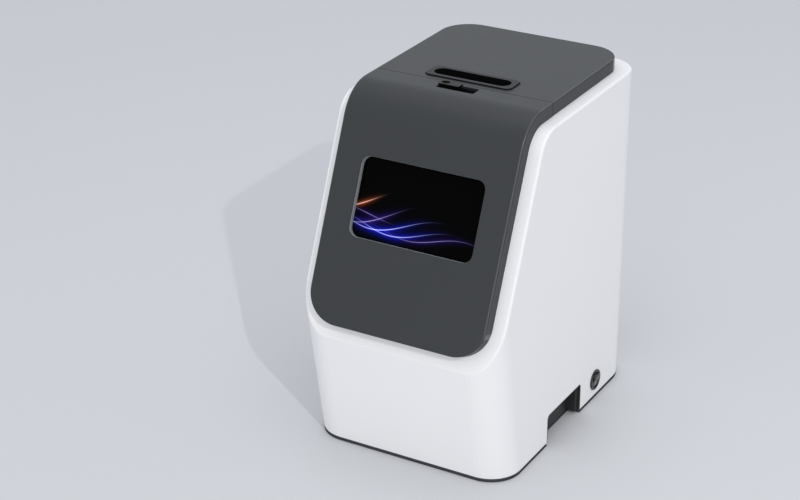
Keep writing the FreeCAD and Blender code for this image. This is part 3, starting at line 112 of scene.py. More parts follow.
class Board:
    """Node tree of one material, with a principled shader at its end."""

    def __init__(self, name: str) -> None:
        """Starts an empty material.

        Args:
            name: the material's name.
        """
        self.material = bpy.data.materials.new(name)
        self.material.use_nodes = True
        self.tree = self.material.node_tree
        self.tree.nodes.clear()
        self.shader = self.tree.nodes.new("ShaderNodeBsdfPrincipled")
        end = self.tree.nodes.new("ShaderNodeOutputMaterial")
        self.tree.links.new(self.shader.outputs[0], end.inputs[0])

    def feed(self, socket: bpy.types.NodeSocket, value: object) -> None:
        """Links a wire to a socket, or writes a plain value on it.

        Args:
            socket: the input socket.
            value: a wire, a number, a colour or a vector.
        """
        if isinstance(value, Wire):
            self.tree.links.new(value.socket, socket)
        elif socket.type == "RGBA":
            socket.default_value = (*value[:3], 1.0)
        else:
            socket.default_value = value

    def node(self, kind: str, settings: dict[str, object] | None = None,
             inputs: dict[int | str, object] | None = None, output: int | str = 0) -> Wire:
        """Adds any node.

        Args:
            kind: the node's type.
            settings: its own settings, set first.
            inputs: values or wires of its sockets, by number or name.
            output: the socket that is wanted.

        Returns:
            The wire of that output.
        """
        made = self.tree.nodes.new(kind)
        for key, value in (settings or {}).items():
            setattr(made, key, value)
        for key, value in (inputs or {}).items():
            self.feed(made.inputs[key], value)
        return Wire(self, made.outputs[output])

    def sum(self, operation: str, *values: Feed) -> Wire:
        """Result of a Math node on one to three wires or numbers."""
        return self.node("ShaderNodeMath", {"operation": operation}, dict(enumerate(values)))

    def vector(self, operation: str, *values: object, output: int | str = 0) -> Wire:
        """Result of a Vector Math node on wires or vectors."""
        return self.node("ShaderNodeVectorMath", {"operation": operation}, dict(enumerate(values)), output)

    def blend(self, mask: Feed, low: object, high: object) -> Wire:
        """Mixes two colours.

        Args:
            mask: 0 for the low colour, 1 for the high one.
            low: a colour or a wire.
            high: a colour or a wire.

        Returns:
            The mixed colour.
        """
        settings = {"data_type": "RGBA", "clamp_factor": True}
        return self.node("ShaderNodeMix", settings, {0: mask, 6: low, 7: high}, 2)

    def glow(self, mask: Feed, colour: object) -> Wire:
        """Colour, or a wire of one, times a mask that may pass 1."""
        return self.node("ShaderNodeVectorMath", {"operation": "SCALE"}, {0: colour, "Scale": mask})

    def place(self) -> Wire:
        """Place on the piece at rest, in metres."""
        return self.node("ShaderNodeTexCoord", output="Object")

    def axes(self, at: Wire | None = None) -> tuple[Wire, Wire, Wire]:
        """The three parts of a place.

        Args:
            at: the place; the piece's own where it is left out.

        Returns:
            Its X, Y and Z.
        """
        split = self.node("ShaderNodeSeparateXYZ", inputs={0: at or self.place()})
        return tuple(Wire(self, socket) for socket in split.socket.node.outputs)

    def noise(self, size: float, stretch: Point = (1.0, 1.0, 1.0), detail: float = 2.0,
              rough: float = 0.5) -> Wire:
        """Soft noise from 0 to 1.

        Args:
            size: width of a patch in metres.
            stretch: how much shorter the patches are along X, Y and Z.
            detail: octaves of finer noise.
            rough: share of the finer noise.

        Returns:
            The noise.
        """
        at = self.vector("MULTIPLY", self.place(), stretch)
        inputs = {"Vector": at, "Scale": 1.0 / size, "Detail": detail, "Roughness": rough}
        return self.node("ShaderNodeTexNoise", inputs=inputs)

    def step(self, value: Feed, low: float, high: float) -> Wire:
        """Smooth rise from 0 at the low value to 1 at the high one."""
        settings = {"interpolation_type": "SMOOTHSTEP"}
        return self.node("ShaderNodeMapRange", settings, {0: value, 1: low, 2: high})

    def relief(self, height: Feed, depth: float, edge: float = 0.0) -> Wire:
        """Bump from a height, on rounded edges if they are asked for.

        Args:
            height: wire from 0 to 1.
            depth: metres that it stands for.
            edge: radius of the rounded edges in metres.

        Returns:
            The normal.
        """
        inputs = {"Height": height, "Distance": depth, "Strength": 1.0}
        if edge:
            inputs["Normal"] = self.node("ShaderNodeBevel", {"samples": 4}, {"Radius": edge})
        return self.node("ShaderNodeBump", inputs=inputs)

    def finish(self, **sockets: object) -> bpy.types.Material:
        """Feeds the shader's sockets, named in lower case with underscores.

        Args:
            sockets: values or wires, such as base_color or roughness.

        Returns:
            The material.
        """
        named = {socket.name.lower().replace(" ", "_"): socket for socket in self.shader.inputs}
        for key, value in sockets.items():
            self.feed(named[key], value)
        return self.material

    def paint_shade(self, mask: Wire, inside: Colour) -> None:
        """Paints shade: a dull dark surface where the mask is 0, which stands in for the shade in the depth of a
        pocket.

        Args:
            mask: 1 where the surface keeps its finish.
            inside: colour of the painted shade.
        """
        end = self.shader.outputs[0].links[0].to_node
        # Dull near-black shader: painted shade, not the surface's own colour.
        dull = self.node("ShaderNodeBsdfPrincipled", inputs={
            "Base Color": inside, "Roughness": 0.9, "Specular IOR Level": 0.06})
        mix = self.node("ShaderNodeMixShader", inputs={
            0: mask, 1: dull, 2: Wire(self, self.shader.outputs[0])})
        self.tree.links.new(mix.socket, end.inputs[0])


class Run(Enum):
    """Way in which the lines of a brushed or drawn surface run, as stretch along X, Y and Z."""

    ACROSS = (1.0, 45.0, 45.0)
    DEEP = (45.0, 1.0, 45.0)
    UPRIGHT = (45.0, 45.0, 1.0)


@dataclass(frozen=True)
class Finish:
    """Surface finish: a name, a colour, and what each kind feeds the shader."""

    name: str
    colour: Colour

    def material(self) -> bpy.types.Material:
        """New material with this finish."""
        board = Board(self.name)
        return board.finish(**self.sockets(board))

    def sockets(self, board: Board) -> dict[str, object]:
        """Values and wires of the shader's sockets, by name; each kind of finish has its own."""
        return {"base_color": self.colour}

    def shade(self, share: float) -> Colour:
        """The colour, paler or darker by a share."""
        return tuple(min(1.0, part * share) for part in self.colour)


@dataclass(frozen=True)
class Moulded(Finish):
    """Moulded plastic with a fine spark grain, faint clouding and soft edges.

    Attributes:
        depth: depth of the grain.
        cloud: how far the clouds are from the colour.
        edge: radius of its edges.
    """

    roughness: float = 0.5
    grain: float = 0.6 * MM
    depth: float = 0.012 * MM
    cloud: float = 0.02
    specular: float = 0.5
    edge: float = 0.4 * MM
    cloud_size: float = 60 * MM
    wear_size: float = 9 * MM

    def sockets(self, board: Board) -> dict[str, object]:
        """Clouded colour, worn roughness and grain.

        Args:
            board: the material.

        Returns:
            What feeds the shader.
        """
        grain = board.noise(self.grain, detail=1.5)
        cloud = board.noise(self.cloud_size, detail=3.0)
        wear = board.noise(self.wear_size, detail=4.0, rough=0.6)
        return {
            "base_color": board.blend(cloud, self.shade(1 - self.cloud), self.shade(1 + self.cloud)),
            "roughness": self.roughness + 0.08 * (wear - 0.5) + 0.05 * (grain - 0.5),
            "specular_ior_level": self.specular,
            "normal": board.relief(grain, self.depth, self.edge),
        }

    def plain(self, board: Board, colour: object) -> dict[str, object]:
        """Grain alone, without clouds or wear.

        Args:
            board: the material.
            colour: its colour, or a wire.

        Returns:
            What feeds the shader.
        """
        grain = board.noise(self.grain, detail=1.5)
        return {
            "base_color": colour,
            "roughness": self.roughness + 0.06 * (grain - 0.5),
            "specular_ior_level": self.specular,
            "normal": board.relief(grain, self.depth, self.edge),
        }


@dataclass(frozen=True)
class Edged(Moulded):
    """Moulded plastic whose two long side edges are burnished and catch the light.

    Attributes:
        side: distance of the edges from the middle plane.
        line: half width of the burnished line.
        soft: width over which it fades.
        burnish: coat on the line.
    """

    side: float = 0.0
    line: float = 0.6 * MM
    soft: float = 0.3 * MM
    burnish: float = 0.9

    def sockets(self, board: Board) -> dict[str, object]:
        """Adds the burnished lines.

        Args:
            board: the material.

        Returns:
            What feeds the shader.
        """
        away = abs(abs(board.axes()[0]) - self.side)
        line = 1 - board.step(away, self.line, self.line + self.soft)
        return super().sockets(board) | {"coat_weight": self.burnish * line, "coat_roughness": 0.4}


@dataclass(frozen=True)
class ShadedPocket(Moulded):
    """Moulded plastic with painted shade below a height: dull black that stands in for the shade in a pocket's
    depth and on the sides below the top.

    Attributes:
        rim_height: height from which it keeps its finish.
        soft: height over which it darkens.
        inside: colour of the painted shade.
    """

    rim_height: float = 0.0
    soft: float = 0.2 * MM
    inside: Colour = (0.003, 0.003, 0.0035)

    def sockets(self, board: Board) -> dict[str, object]:
        """Grain above the rim's height, painted shade below it.

        Args:
            board: the material.

        Returns:
            What feeds the shader.
        """
        # Painted shade below the rim's height: the pocket's depth and the sides that stand below the top.
        above = board.step(board.axes()[2], self.rim_height - self.soft, self.rim_height)
        board.paint_shade(above, self.inside)
        return self.plain(board, self.colour)


@dataclass(frozen=True)
class Marked(Moulded):
    """Rocker moulding with a printed bar on one half and a ring on the other.

    Attributes:
        pivot: a point on the rocker's axis.
        tilt: angle at which the rocker rests, in radians.
        spread: distance of the marks from the middle.
        size: half height of the marks.
        stroke: half width of the lines.
        soft: width of the lines' fading edge.
        face: distance from the pivot from which the paint shows.
        face_soft: depth over which the paint begins.
        paint: colour of the marks.
    """

    pivot: Point = (0.0, 0.0, 0.0)
    tilt: float = 0.0
    spread: float = 4.6 * MM
    size: float = 1.5 * MM
    stroke: float = 0.22 * MM
    soft: float = 0.08 * MM
    face: float = 2.5 * MM
    face_soft: float = 0.5 * MM
    paint: Colour = (0.75, 0.76, 0.78)

    def sockets(self, board: Board) -> dict[str, object]:
        """Grain with the two marks painted on the face.

        Args:
            board: the material.

        Returns:
            What feeds the shader.
        """
        x, y, z = board.axes(board.vector("SUBTRACT", board.place(), self.pivot))
        along = z * math.cos(self.tilt) + x * math.sin(self.tilt)
        outwards = x * math.cos(self.tilt) - z * math.sin(self.tilt)
        bar_length = 1 - board.step(abs(along - self.spread), self.size, self.size + self.soft)
        bar = bar_length * (1 - board.step(abs(y), self.stroke, self.stroke + self.soft))
        low = along + self.spread
        from_ring = abs(board.sum("SQRT", low * low + y * y) - self.size)
        ring = 1 - board.step(from_ring, self.stroke, self.stroke + self.soft)
        face = board.step(outwards, self.face, self.face + self.face_soft)
        return self.plain(board, board.blend((bar + ring) * face, self.colour, self.paint))


@dataclass(frozen=True)
class Brushed(Finish):
    """Brushed or drawn metal, with fine lines that run one way."""

    run: Run = Run.UPRIGHT
    roughness: float = 0.3
    line: float = 6 * MM
    depth: float = 0.004 * MM
    smear: float = 35 * MM
    dull: float = 0.82
    edge: float = 0.3 * MM

    def sockets(self, board: Board) -> dict[str, object]:
        """Lines in the colour, the roughness and the relief.

        Args:
            board: the material.

        Returns:
            What feeds the shader.
        """
        lines = board.noise(self.line, stretch=self.run.value, detail=3.0, rough=0.65)
        smear = board.noise(self.smear, detail=2.0)
        return {
            "base_color": board.blend(lines, self.shade(self.dull), self.colour),
            "metallic": 1.0,
            "roughness": self.roughness + 0.16 * (lines - 0.5) + 0.1 * (smear - 0.5),
            "normal": board.relief(lines, self.depth, self.edge),
        }


@dataclass(frozen=True)
class Cast(Finish):
    """Blasted casting with a pebbled skin."""

    roughness: float = 0.55
    pebble: float = 1.1 * MM
    depth: float = 0.06 * MM
    patch: float = 22 * MM
    dull: float = 0.7
    edge: float = 0.8 * MM

    def sockets(self, board: Board) -> dict[str, object]:
        """Pebbles in the roughness and the relief, patches in the colour.

        Args:
            board: the material.

        Returns:
            What feeds the shader.
        """
        pebble = board.noise(self.pebble, detail=3.0, rough=0.6)
        patch = board.noise(self.patch, detail=3.0)
        return {
            "base_color": board.blend(patch, self.shade(self.dull), self.colour),
            "metallic": 0.85,
            "roughness": self.roughness + 0.12 * (pebble - 0.5),
            "normal": board.relief(pebble, self.depth, self.edge),
        }


@dataclass(frozen=True)
class Coated(Finish):
    """Powder coated or zinc plated sheet."""

    roughness: float = 0.5
    metallic: float = 0.0
    peel: float = 1.4 * MM
    depth: float = 0.02 * MM
    flake: float = 14 * MM
    dull: float = 0.8
    edge: float = 0.4 * MM

    def sockets(self, board: Board) -> dict[str, object]:
        """Flakes in the colour and the roughness, peel in the relief.

        Args:
            board: the material.

        Returns:
            What feeds the shader.
        """
        peel = board.noise(self.peel, detail=2.0)
        flake = board.noise(self.flake, detail=4.0, rough=0.7)
        return {
            "base_color": board.blend(flake, self.shade(self.dull), self.colour),
            "metallic": self.metallic,
            "roughness": self.roughness + 0.14 * (flake - 0.5),
            "normal": board.relief(peel, self.depth, self.edge),
        }


@dataclass(frozen=True)
class Rubber(Finish):
    """Matt rubber with a dusty bloom."""

    colour: Colour = (0.016, 0.016, 0.017)
    roughness: float = 0.78
    grain: float = 0.8 * MM
    depth: float = 0.03 * MM
    bloom: float = 12 * MM
    edge: float = 0.4 * MM

    def sockets(self, board: Board) -> dict[str, object]:
        """Bloom in the colour, grain in the roughness and the relief.

        Args:
            board: the material.

        Returns:
            What feeds the shader.
        """
        grain = board.noise(self.grain, detail=3.0, rough=0.7)
        bloom = board.noise(self.bloom, detail=3.0)
        dusty = tuple(part * 2.2 + 0.004 for part in self.colour)
        return {
            "base_color": board.blend(0.5 * bloom, self.colour, dusty),
            "roughness": self.roughness + 0.12 * (grain - 0.5),
            "specular_ior_level": 0.35,
            "normal": board.relief(grain, self.depth, self.edge),
        }


@dataclass(frozen=True)
class Circuit(Finish):
    """Green circuit board with copper tracks under its mask."""

    colour: Colour = (0.012, 0.085, 0.035)
    track: Colour = (0.03, 0.17, 0.07)
    depth: float = 0.03 * MM

    def sockets(self, board: Board) -> dict[str, object]:
        """Wavy tracks in the colour, the roughness and the relief.

        Args:
            board: the material.

        Returns:
            What feeds the shader.
        """
        wave = {"wave_type": "BANDS", "bands_direction": "X", "wave_profile": "SIN"}
        inputs = {"Vector": board.place(), "Scale": 180.0, "Distortion": 2.0, "Detail": 2.0}
        tracks = board.step(board.node("ShaderNodeTexWave", wave, inputs, "Fac"), 0.6, 0.75)
        return {
            "base_color": board.blend(tracks, self.colour, self.track),
            "roughness": 0.35 + 0.1 * tracks,
            "normal": board.relief(tracks, self.depth),
        }


@dataclass(frozen=True)
class Clear(Finish):
    """Clear or milky moulding that light passes through."""

    roughness: float = 0.2
    frost: float = 2 * MM
    depth: float = 0.01 * MM

    def sockets(self, board: Board) -> dict[str, object]:
        """Frost in the roughness and the relief.

        Args:
            board: the material.

        Returns:
            What feeds the shader.
        """
        frost = board.noise(self.frost, detail=3.0)
        return {
            "base_color": self.colour,
            "transmission_weight": 0.75,
            "ior": 1.45,
            "roughness": self.roughness + 0.1 * (frost - 0.5),
            "normal": board.relief(frost, self.depth),
        }


@dataclass(frozen=True)
class Painted(Finish):
    """Dead flat paint of the studio's floor."""

    speck: float = 3 * MM

    def sockets(self, board: Board) -> dict[str, object]:
        """Specks in the roughness.

        Args:
            board: the material.

        Returns:
            What feeds the shader.
        """
        specks = board.noise(self.speck, detail=3.0)
        return {
            "base_color": self.colour,
            "roughness": 0.9 + 0.1 * (specks - 0.5),
            "specular_ior_level": 0.05,
        }


@dataclass(frozen=True)
class Ripple:
    """One line of light in the display's picture, a wave across it.

    Attributes:
        level: height of its middle line up the glass, from the glass's middle, in metres.
        swing: how far it rises and falls.
        length: length of the wave.
        shift: where the wave starts, in metres.
        width: width of the bright core.
        reach: how far the glow spreads.
        start: place across the glass where it is brightest.
        fade: distance over which it dims to the sides.
        tint: colour of the glow.
        power: brightness of the core.
    """

    level: float
    swing: float
    length: float
    shift: float
    width: float
    reach: float
    start: float
    fade: float
    tint: Colour
    power: float


@dataclass(frozen=True)
class Picture(Finish):
    """Display glass with a lit picture of waves behind it: blue and violet, with one warm streak.

    Attributes:
        centre: middle of the glass's face.
        up: way up the glass.
        out: way out of the glass.
        ripples: the waves.
        core: colour of their cores.
        halo: brightness of the glow beside that of the core.
        behind: depth behind the face at which the light begins.
        before: depth at which it is full.
        smear: width of a smear on the glass.
    """

    centre: Vector
    up: Vector
    out: Vector
    ripples: tuple[Ripple, ...]
    core: Colour = (0.85, 0.88, 1.0)
    halo: float = 0.55
    behind: float = -0.2 * MM
    before: float = -0.05 * MM
    smear: float = 40 * MM

    def sockets(self, board: Board) -> dict[str, object]:
        """Light of the waves on the face alone.

        Args:
            board: the material.

        Returns:
            What feeds the shader.
        """
        from_centre = board.vector("SUBTRACT", board.place(), tuple(self.centre))
        across = board.axes(from_centre)[0]
        height = board.vector("DOT_PRODUCT", from_centre, tuple(self.up), output="Value")
        depth = board.vector("DOT_PRODUCT", from_centre, tuple(self.out), output="Value")
        light, *others = [self._ripple(board, ripple, across, height) for ripple in self.ripples]
        for other in others:
            light = board.vector("ADD", light, other)
        facing = board.step(depth, self.behind, self.before)
        smear = board.noise(self.smear, detail=4.0)
        return {
            "base_color": self.colour,
            "roughness": 0.1 + 0.05 * smear,
            "specular_ior_level": 0.01,
            "emission_color": board.glow(facing, light),
            "emission_strength": 1.0,
        }

    def _ripple(self, board: Board, ripple: Ripple, across: Wire, height: Wire) -> Wire:
        """Light of one wave.

        Args:
            board: the material.
            ripple: the wave.
            across: place across the glass.
            height: place up the glass.

        Returns:
            Its colour.
        """
        turn = (across - ripple.shift) * (2 * math.pi / ripple.length)
        away = abs(height - ripple.level - ripple.swing * board.sum("SINE", turn))
        side = abs(across - ripple.start) / ripple.fade
        dim = board.sum("EXPONENT", -1.0 * side * side)
        core = board.sum("EXPONENT", -1.0 * (away / ripple.width) ** 2.0)
        halo = board.sum("EXPONENT", -1.0 * (away / ripple.reach))
        bright = board.glow(core * dim * ripple.power, self.core)
        return board.vector("ADD", bright, board.glow(halo * dim * ripple.power * self.halo, ripple.tint))


ZINC_SHEET = Coated("zinc_sheet", (0.42, 0.44, 0.46), 0.38, 0.9)


def turns(count: int) -> list[float]:
    """Angles of equal steps round a circle."""
    return [2 * math.pi * index / count for index in range(count)]


def polar(reach: float, angle: float, height: float) -> Vector:
    """Point at a distance and an angle from the Z axis, at a height."""
    return Vector((reach * math.cos(angle), reach * math.sin(angle), height))


class Bench:
    """Makes meshes from profiles and outlines."""

    @staticmethod
    def mesh(name: str, form: bmesh.types.BMesh, smooth: float = 35.0) -> bpy.types.Object:
        """Turns a bmesh into an object in the scene.

        Args:
            name: the object's name.
            form: the bmesh, which is used up.
            smooth: edges sharper than this many degrees stay sharp.

        Returns:
            The object.
        """
        bmesh.ops.recalc_face_normals(form, faces=form.faces)
        for face in form.faces:
            face.smooth = True
        for edge in form.edges:
            edge.smooth = len(edge.link_faces) == 2 and edge.calc_face_angle(0.0) < math.radians(smooth)
        data = bpy.data.meshes.new(name)
        form.to_mesh(data)
        form.free()
        made = bpy.data.objects.new(name, data)
        bpy.context.scene.collection.objects.link(made)
        return made

    @staticmethod
    def loft(form: bmesh.types.BMesh, levels: Iterable[Iterable[Vector]], closed: bool = False,
             capped: bool = False) -> None:
        """Joins rings of points, one after the other.

        Args:
            form: the bmesh that is added to.
            levels: places of each ring's points; a ring of one point is a tip.
            closed: joins the last ring to the first.
            capped: closes the first ring and the last with a face.
        """
        rings = [[form.verts.new(spot) for spot in level] for level in levels]
        Bench.join(form, [*rings, rings[0]] if closed else rings)
        if capped:
            form.faces.new(rings[0][::-1])
            form.faces.new(rings[-1])

    @staticmethod
    def join(form: bmesh.types.BMesh, rings: Sequence[Sequence[bmesh.types.BMVert]]) -> None:
        """Adds the faces between each ring and the next.

        Args:
            form: the bmesh that is added to.
            rings: the rings' points.
        """
        for low, high in zip(rings, rings[1:]):
            count = max(len(low), len(high))
            for index in range(count):
                on = (index + 1) % count
                if len(low) == 1:
                    form.faces.new((low[0], high[on], high[index]))
                elif len(high) == 1:
                    form.faces.new((low[index], low[on], high[0]))
                else:
                    form.faces.new((low[index], low[on], high[on], high[index]))

    @staticmethod
    def lathe(form: bmesh.types.BMesh, profile: Sequence[Spot], at: Vector, axis: Vector,
              segments: int = 48, waves: int = 0, depth: float = 0.0) -> None:
        """Turns a profile about an axis, with flutes if they are asked for.

        Args:
            form: the bmesh that is added to.
            profile: radius and height of each point, from the foot to the head.
            at: foot of the axis.
            axis: direction of the axis.
            segments: steps round the axis.
            waves: number of flutes.
            depth: depth of the flutes.
        """
        turn = axis.to_track_quat("Z", "Y").to_matrix()
        flutes = [(angle, depth * 0.5 * (1 - math.cos(waves * angle))) for angle in turns(segments)]
        Bench.loft(form, [[at + turn @ polar(radius - flute, angle, height) for angle, flute in flutes]
                          if radius > 0 else [at + turn @ Vector((0, 0, height))]
                          for radius, height in profile])

    @staticmethod
    def screw_head(form: bmesh.types.BMesh, at: Vector, axis: Vector, radius: float, height: float,
                   socket: float) -> None:
        """Screw head with a six-sided socket.

        Args:
            form: the bmesh that is added to.
            at: foot of the head.
            axis: direction out of the head.
            radius: the head's radius.
            height: the head's height.
            socket: the socket's radius across its corners.
        """
        rim = 0.12 * radius
        floor_height = 0.35 * height
        sides = 24
        profile = [(0, 0), (radius, 0), (radius, height - rim), (radius - rim, height)]
        Bench.lathe(form, profile, at, axis, sides)
        form.verts.ensure_lookup_table()
        rings = [form.verts[-sides:]]
        turn = axis.to_track_quat("Z", "Y").to_matrix()
        for level in (height, floor_height):
            ring = []
            for angle in turns(sides):
                reach = socket * math.cos(math.pi / 6) / math.cos(angle % (math.pi / 3) - math.pi / 6)
                ring.append(form.verts.new(at + turn @ polar(reach, angle, level)))
            rings.append(ring)
        Bench.join(form, rings)
        form.faces.new(rings[-1])

    @staticmethod
    def thread(form: bmesh.types.BMesh, foot: Vector, length: float, radius: float, pitch: float,
               depth: float) -> None:
        """Upright rod with a screw thread, which runs out at both ends.

        Args:
            form: the bmesh that is added to.
            foot: foot of the rod's axis.
            length: the rod's length.
            radius: outer radius.
            pitch: rise of one turn.
            depth: depth of the thread.
        """
        around = 36
        steps = int(length / pitch * 10)
        levels = []
        for step in range(steps + 1):
            height = length * step / steps
            fade = min(1.0, height / pitch, (length - height) / pitch)
            level = []
            for index, angle in enumerate(turns(around)):
                phase = (height / pitch - index / around) % 1.0
                groove = min(1.0, 1.3 * abs(2 * phase - 1))
                level.append(foot + polar(radius - depth * (1 - fade + fade * groove), angle, height))
            levels.append(level)
        Bench.loft(form, levels, capped=True)

    @staticmethod
    def rounded(half_x: float, half_y: float, radius: float, steps: int = 8) -> list[Spot]:
        """Outline of a rounded rectangle about the origin.

        Args:
            half_x: its half width.
            half_y: its half depth.
            radius: radius of its corners.
            steps: steps round a corner.

        Returns:
            Its points, anticlockwise.
        """
        points = []
        for corner in range(4):
            sign_x = 1 if corner in (0, 3) else -1
            sign_y = 1 if corner in (0, 1) else -1
            for step in range(steps + 1):
                angle = math.pi / 2 * (corner + step / steps)
                points.append((sign_x * (half_x - radius) + radius * math.cos(angle),
                               sign_y * (half_y - radius) + radius * math.sin(angle)))
        return points


class Assembly:
    """Shared ways of a sub-assembly: it dresses its nodes and adds its pieces.

    Attributes:
        made: the materials so far, by name.
    """

    made: dict[str, bpy.types.Material] = {}

    @classmethod
    def paint(cls, finish: Finish) -> bpy.types.Material:
        """Material of a finish, made at its first use.

        Args:
            finish: the finish.

        Returns:
            The material.
        """
        if finish.name not in cls.made:
            cls.made[finish.name] = finish.material()
        return cls.made[finish.name]

    def dress(self, finish: Finish, *nodes: str) -> None:
        """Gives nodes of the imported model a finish.

        Args:
            finish: the finish.
            nodes: names of the nodes.
        """
        for node in nodes:
            data = frame["nodes"][node].data
            data.materials.clear()
            data.materials.append(self.paint(finish))
            log.info("dressed %s with %s", node, finish.name)

    def add(self, piece: bpy.types.Object, finish: Finish, body: str, slot: str, *replaces: str) -> None:
        """Finishes a new piece and lets it ride on its body.

        Args:
            piece: the new object.
            finish: its finish.
            body: the body that it moves with.
            slot: the record's material slot; not used.
            replaces: nodes that it stands for.
        """
        piece.data.materials.append(self.paint(finish))
        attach(piece, body)
        if replaces:
            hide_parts(*replaces)
        log.info("added %s on %s", piece.name, body)

    @staticmethod
    def islands(node: str) -> list[tuple[Vector, Vector]]:
        """Boxes of the separate solids in one node.

        Args:
            node: the node's name.

        Returns:
            The lowest and highest corner of each, in order of their places.
        """
        data = frame["nodes"][node].data
        home = list(range(len(data.vertices)))

        def root(index: int) -> int:
            """Finds the group that a vertex belongs to.

            Args:
                index: the vertex.

            Returns:
                The first vertex of its group.
            """
            while home[index] != index:
                home[index] = home[home[index]]
                index = home[index]
            return index

        same: dict[tuple[int, int, int], int] = {}
        for vertex in data.vertices:
            key = tuple(round(part * 1e6) for part in vertex.co)
            home[vertex.index] = same.setdefault(key, vertex.index)
        for edge in data.edges:
            home[root(edge.vertices[0])] = root(edge.vertices[1])
        groups: dict[int, list[Vector]] = {}
        for vertex in data.vertices:
            groups.setdefault(root(vertex.index), []).append(vertex.co)
        boxes = []
        for points in groups.values():
            low = Vector([min(p[axis] for p in points) for axis in range(3)])
            high = Vector([max(p[axis] for p in points) for axis in range(3)])
            boxes.append((low, high))
        return sorted(boxes, key=lambda pair: tuple(round(part, 6) for part in pair[0]))


@dataclass
class Casing(Assembly):
    """White housing, dark cover and lid, and the dark base under them.

    Attributes:
        edge_inset: how far the cover's bright edge lies inside its width.
        edging_out: how far the edging stands out of the tray's underside.
        edging_wall: how far it reaches under the tray.
        edging_gap: its gap to the table.
    """

    edge_inset: float = 1.2 * MM
    edging_out: float = 1.3 * MM
    edging_wall: float = 1.6 * MM
    edging_gap: float = 0.1 * MM
    edging_soft: float = 0.2 * MM

    def build(self) -> None:
        """Dresses the shells, the tray, the grips and the feet, and adds the tray's edging."""
        self.dress(Moulded("white_moulding", (0.80, 0.798, 0.798), roughness=0.6, cloud=0.008,
                           depth=0.006 * MM, specular=0.2, edge=0.8 * MM), "housing_shell")
        self.dress(Edged("charcoal_moulding", (0.0186, 0.0211, 0.0230), roughness=0.48, cloud=0.05,
                         side=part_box("front_cover")[1].x - self.edge_inset), "front_cover", "lid_shell")
        self.dress(Moulded("black_moulding", (0.014, 0.0145, 0.016), cloud=0.06),
                   "grip_liner_left", "grip_liner_right")
        self.dress(Moulded("tray_moulding", (0.042, 0.047, 0.056), roughness=0.55, cloud=0.05), "base_tray")
        self.dress(Rubber("foot_rubber"), "rubber_feet")
        self._edging()

    @staticmethod
    def _outline(node: str) -> list[Vector]:
        """Outer outline of a node's flat underside.

        Args:
            node: the node's name.

        Returns:
            Its points, anticlockwise from above.
        """
        data = frame["nodes"][node].data
        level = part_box(node)[0].z
        spots = [(round(vertex.co.x, 6), round(vertex.co.y, 6)) for vertex in data.vertices]
        sides = set()
        for face in data.polygons:
            if all(abs(data.vertices[index].co.z - level) < 0.01 * MM for index in face.vertices):
                around = [spots[index] for index in face.vertices]
                sides.update(zip(around, [*around[1:], around[0]]))
        following = {here: there for here, there in sides if (there, here) not in sides}
        best: list[Spot] = []
        best_area = 0.0
        while following:
            here, there = following.popitem()
            loop = [here]
            while there in following:
                loop.append(there)
                there = following.pop(there)
            area = sum(a[0] * b[1] - b[0] * a[1] for a, b in zip(loop, [*loop[1:], loop[0]])) / 2
            if abs(area) > abs(best_area):
                best, best_area = loop, area
        if best_area < 0:
            best.reverse()
        return [Vector((x, y, level)) for x, y in best]

    @staticmethod
    def _inset(outline: Sequence[Vector], depth: float, level: float) -> list[Vector]:
        """Draws an outline in.

        Args:
            outline: its points, anticlockwise.
            depth: how far it is drawn in.
            level: height of the new outline.

        Returns:
            The new outline's points.
        """
        moved = []
        for index, point in enumerate(outline):
            before = (point - outline[index - 1]).normalized()
            after = (outline[(index + 1) % len(outline)] - point).normalized()
            middle = (before + after).normalized()
            reach = depth / max(0.5, middle.dot(after))
            moved.append(Vector((point.x - middle.y * reach, point.y + middle.x * reach, level)))
        return moved

    def _edging(self) -> None:
        """Rubber edging under the tray's rim, which closes the gap to the table."""
        outline = self._outline("base_tray")
        foot = outline[0].z
        out, wall, gap, soft = -self.edging_out, self.edging_wall, self.edging_gap, self.edging_soft
        section = ((out, foot), (out, gap + soft), (out + soft, gap), (wall, gap), (wall, foot))
        form = bmesh.new()
        Bench.loft(form, [self._inset(outline, inset, level) for inset, level in section], closed=True)
        self.add(Bench.mesh("tray_edging", form), Rubber("edging_rubber", (0.034, 0.038, 0.046)),
                 "housing", "rubber")


